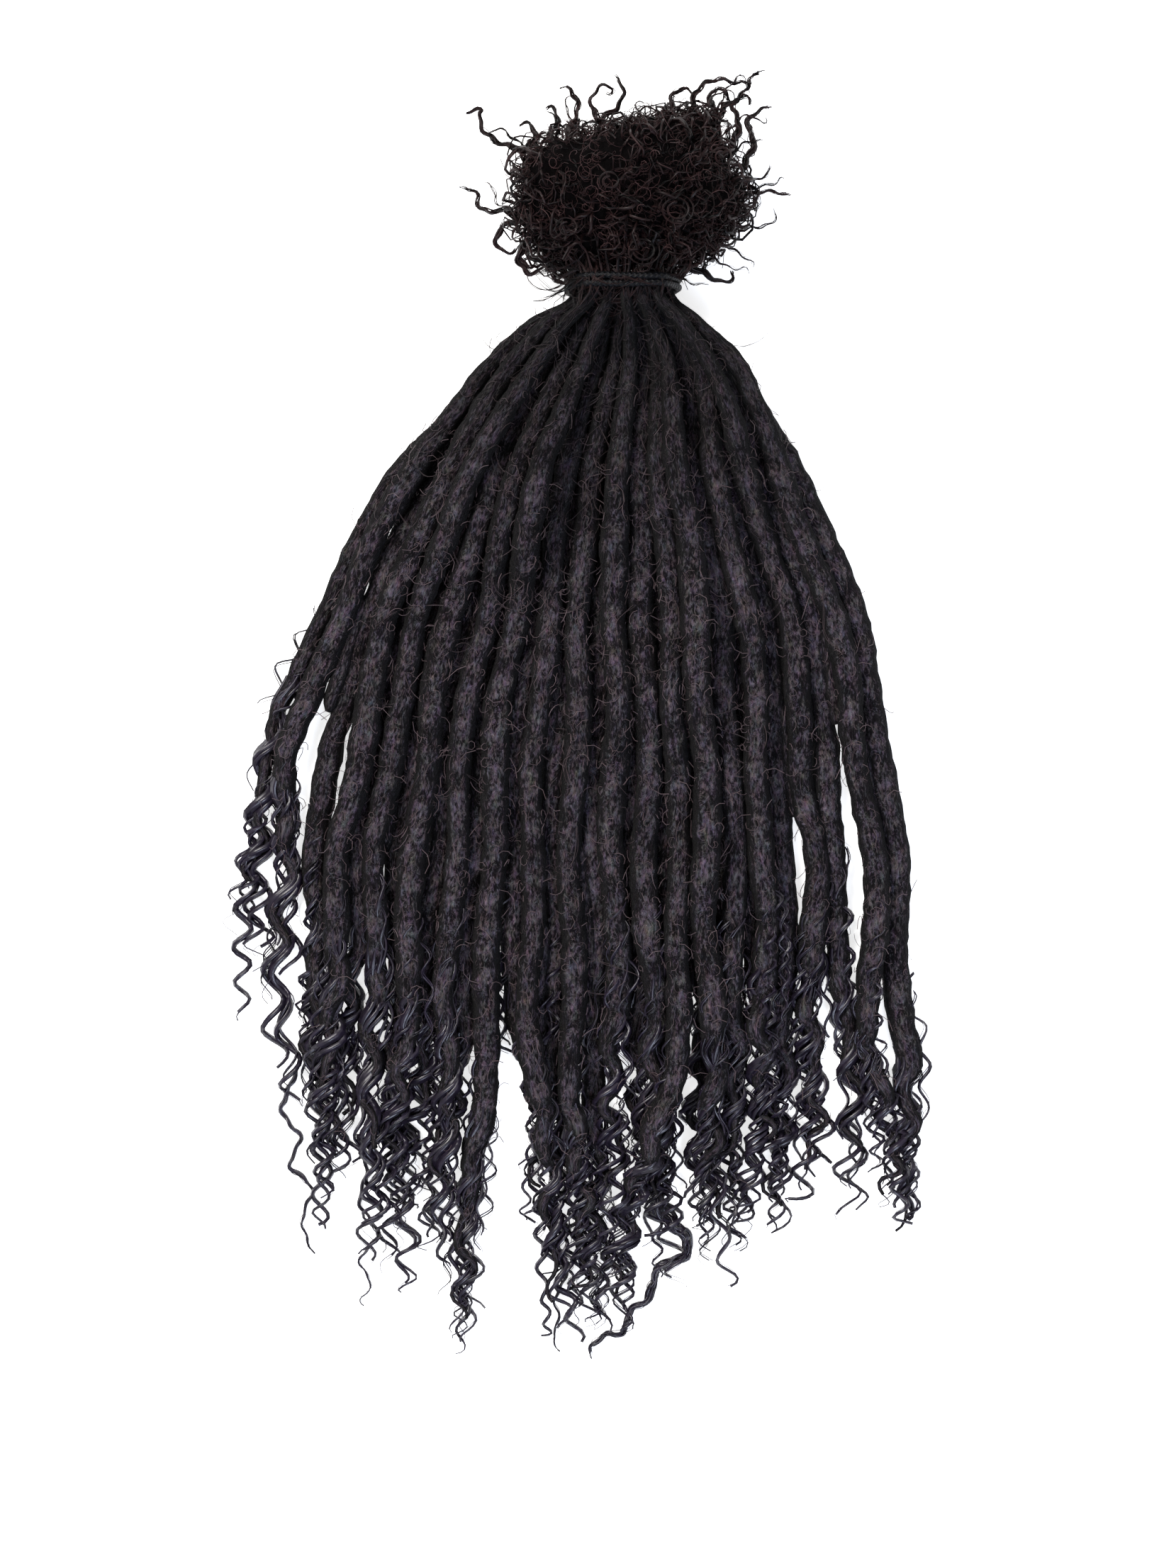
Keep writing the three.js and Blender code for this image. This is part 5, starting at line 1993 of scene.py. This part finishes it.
def braided_sleeve():
    material, tree, shader, _ = start_material("braided_polyester_sleeve")
    marks = {}
    for name in ("turn", "depth"):
        marks[name] = add_node(
            tree, "ShaderNodeAttribute", attribute_type="GEOMETRY", attribute_name=name
        ).outputs["Fac"]
    threads = []
    for slant in (-BRAID_THREADS, BRAID_THREADS):
        run = add_node(
            tree, "ShaderNodeMath", {0: marks["depth"], 1: math.tau / BRAID_PITCH}, operation="MULTIPLY"
        ).outputs[0]
        cross = add_node(
            tree,
            "ShaderNodeMath",
            {0: marks["turn"], 1: slant * math.tau, 2: run},
            operation="MULTIPLY_ADD",
        ).outputs[0]
        threads.append(add_node(tree, "ShaderNodeMath", {0: cross}, operation="SINE").outputs[0])
    weave = add_node(
        tree, "ShaderNodeMath", {0: threads[0], 1: threads[1]}, operation="MAXIMUM"
    ).outputs[0]
    level = add_node(
        tree, "ShaderNodeMapRange", {"Value": weave, "From Min": -0.4, "From Max": 1.0}
    ).outputs["Result"]
    colour = add_node(
        tree,
        "ShaderNodeMix",
        {"Factor": level, 6: linear(SLEEVE_DARK), 7: linear(SLEEVE_LIGHT)},
        data_type="RGBA",
    ).outputs[2]
    tree.links.new(colour, shader.inputs["Base Color"])
    bump = add_node(
        tree, "ShaderNodeBump", {"Strength": 0.7, "Distance": 0.25 * MM, "Height": level}
    )
    tree.links.new(bump.outputs["Normal"], shader.inputs["Normal"])
    shader.inputs["Roughness"].default_value = 0.5
    shader.inputs["Specular IOR Level"].default_value = 0.15
    return material


SLEEVE = braided_sleeve()
print(f"{SLEEVE.name}: {len(SLEEVE.node_tree.nodes)} nodes")

# %% The winding tree
def winding_tree():
    tree, given, output = start_tree("wind_the_elastic", radius=1.1 * MM, sides=12)
    curve = add_node(tree, "GeometryNodeMeshToCurve", {"Mesh": given["Geometry"]})
    parameter = add_node(tree, "GeometryNodeSplineParameter")
    marked = add_node(
        tree,
        "GeometryNodeStoreNamedAttribute",
        {"Geometry": curve.outputs[0], "Name": "depth", "Value": parameter.outputs["Length"]},
        data_type="FLOAT",
        domain="POINT",
    )
    circle = add_node(
        tree,
        "GeometryNodeCurvePrimitiveCircle",
        {"Resolution": given["Sides"], "Radius": given["Radius"]},
    )
    profile = add_node(
        tree,
        "GeometryNodeStoreNamedAttribute",
        {"Geometry": circle.outputs[0], "Name": "turn", "Value": parameter.outputs["Factor"]},
        data_type="FLOAT",
        domain="POINT",
    )
    tube = add_node(
        tree,
        "GeometryNodeCurveToMesh",
        {"Curve": marked.outputs[0], "Profile Curve": profile.outputs[0], "Fill Caps": True},
    )
    end_tree(tree, output, tube.outputs[0], SLEEVE)
    return tree


WINDING = winding_tree()
print(f"{WINDING.name}: {len(WINDING.nodes)} nodes")

# %% Wind the elastic
BAND_POINTS = 120
TURN_ASIDE = 1.15 * MM  # each turn from the middle of the elastic
TURN_START = 2.4  # radians from where the first turn starts to where the second does
OVERLAP = 1.03  # turns, so that the two ends of a turn sink into each other
SLACK = 0.22 * MM
BEYOND = 50 * MM


def elastic_ring():
    """Radius of the elastic's middle line at evenly spaced angles round the neck."""
    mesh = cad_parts["tie_elastic"].data
    skin = BVHTree.FromPolygons(
        [vertex.co for vertex in mesh.vertices], [polygon.vertices for polygon in mesh.polygons]
    )
    ring = []
    for angle in np.linspace(0, math.tau, BAND_POINTS, endpoint=False):
        out = Vector((math.cos(angle), 0, math.sin(angle)))
        inner = skin.ray_cast(NECK, out)[3]
        outer = BEYOND - skin.ray_cast(NECK + out * BEYOND, -out)[3]
        ring.append((inner + outer) / 2)
    return np.array(ring)


ring = elastic_ring()
turns = []
for number, aside in enumerate((-TURN_ASIDE, TURN_ASIDE)):
    k = np.arange(int(BAND_POINTS * OVERLAP))
    angle = math.tau * k / BAND_POINTS + TURN_START * number
    radius = ring[(k + int(BAND_POINTS * TURN_START * number / math.tau)) % BAND_POINTS]
    slack = SLACK * np.sin(3 * angle + number)
    turns.append(
        np.stack(
            [NECK.x + radius * np.cos(angle), NECK.y + aside + slack, NECK.z + radius * np.sin(angle)],
            axis=1,
        )
    )
ring_line = line_object("elastic_line", turns, {})
elastic = grow(ring_line, WINDING, "wound_elastic")
bpy.data.objects.remove(ring_line)
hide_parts("tie_elastic")
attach(elastic, "root")
print(f"elastic wound in {len(turns)} turns, {len(elastic.data.polygons)} faces")

# %% [markdown]
# Curls and frizz are free to grow a little past their solids. So the box round all that shows
# is set against the box of the solids, which was noted when the frame was loaded.

# %% Check the size and finish
added = [o for o in bpy.data.objects if o.type == "MESH" and o.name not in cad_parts]
print(f"{len(added)} pieces with {sum(map(triangles, added))} triangles in all")
low, high = cad_box
sizes = {"cad": [list(low), list(high)], "visual": [list(corner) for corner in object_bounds()]}
for axis, k in (("x", 0), ("y", 1), ("z", 2)):
    for side, key in ((0, "low"), (1, "high")):
        difference = (sizes["visual"][side][k] - sizes["cad"][side][k]) / MM
        print(f"{key} {axis}: {difference:+.1f} mm from the solids")
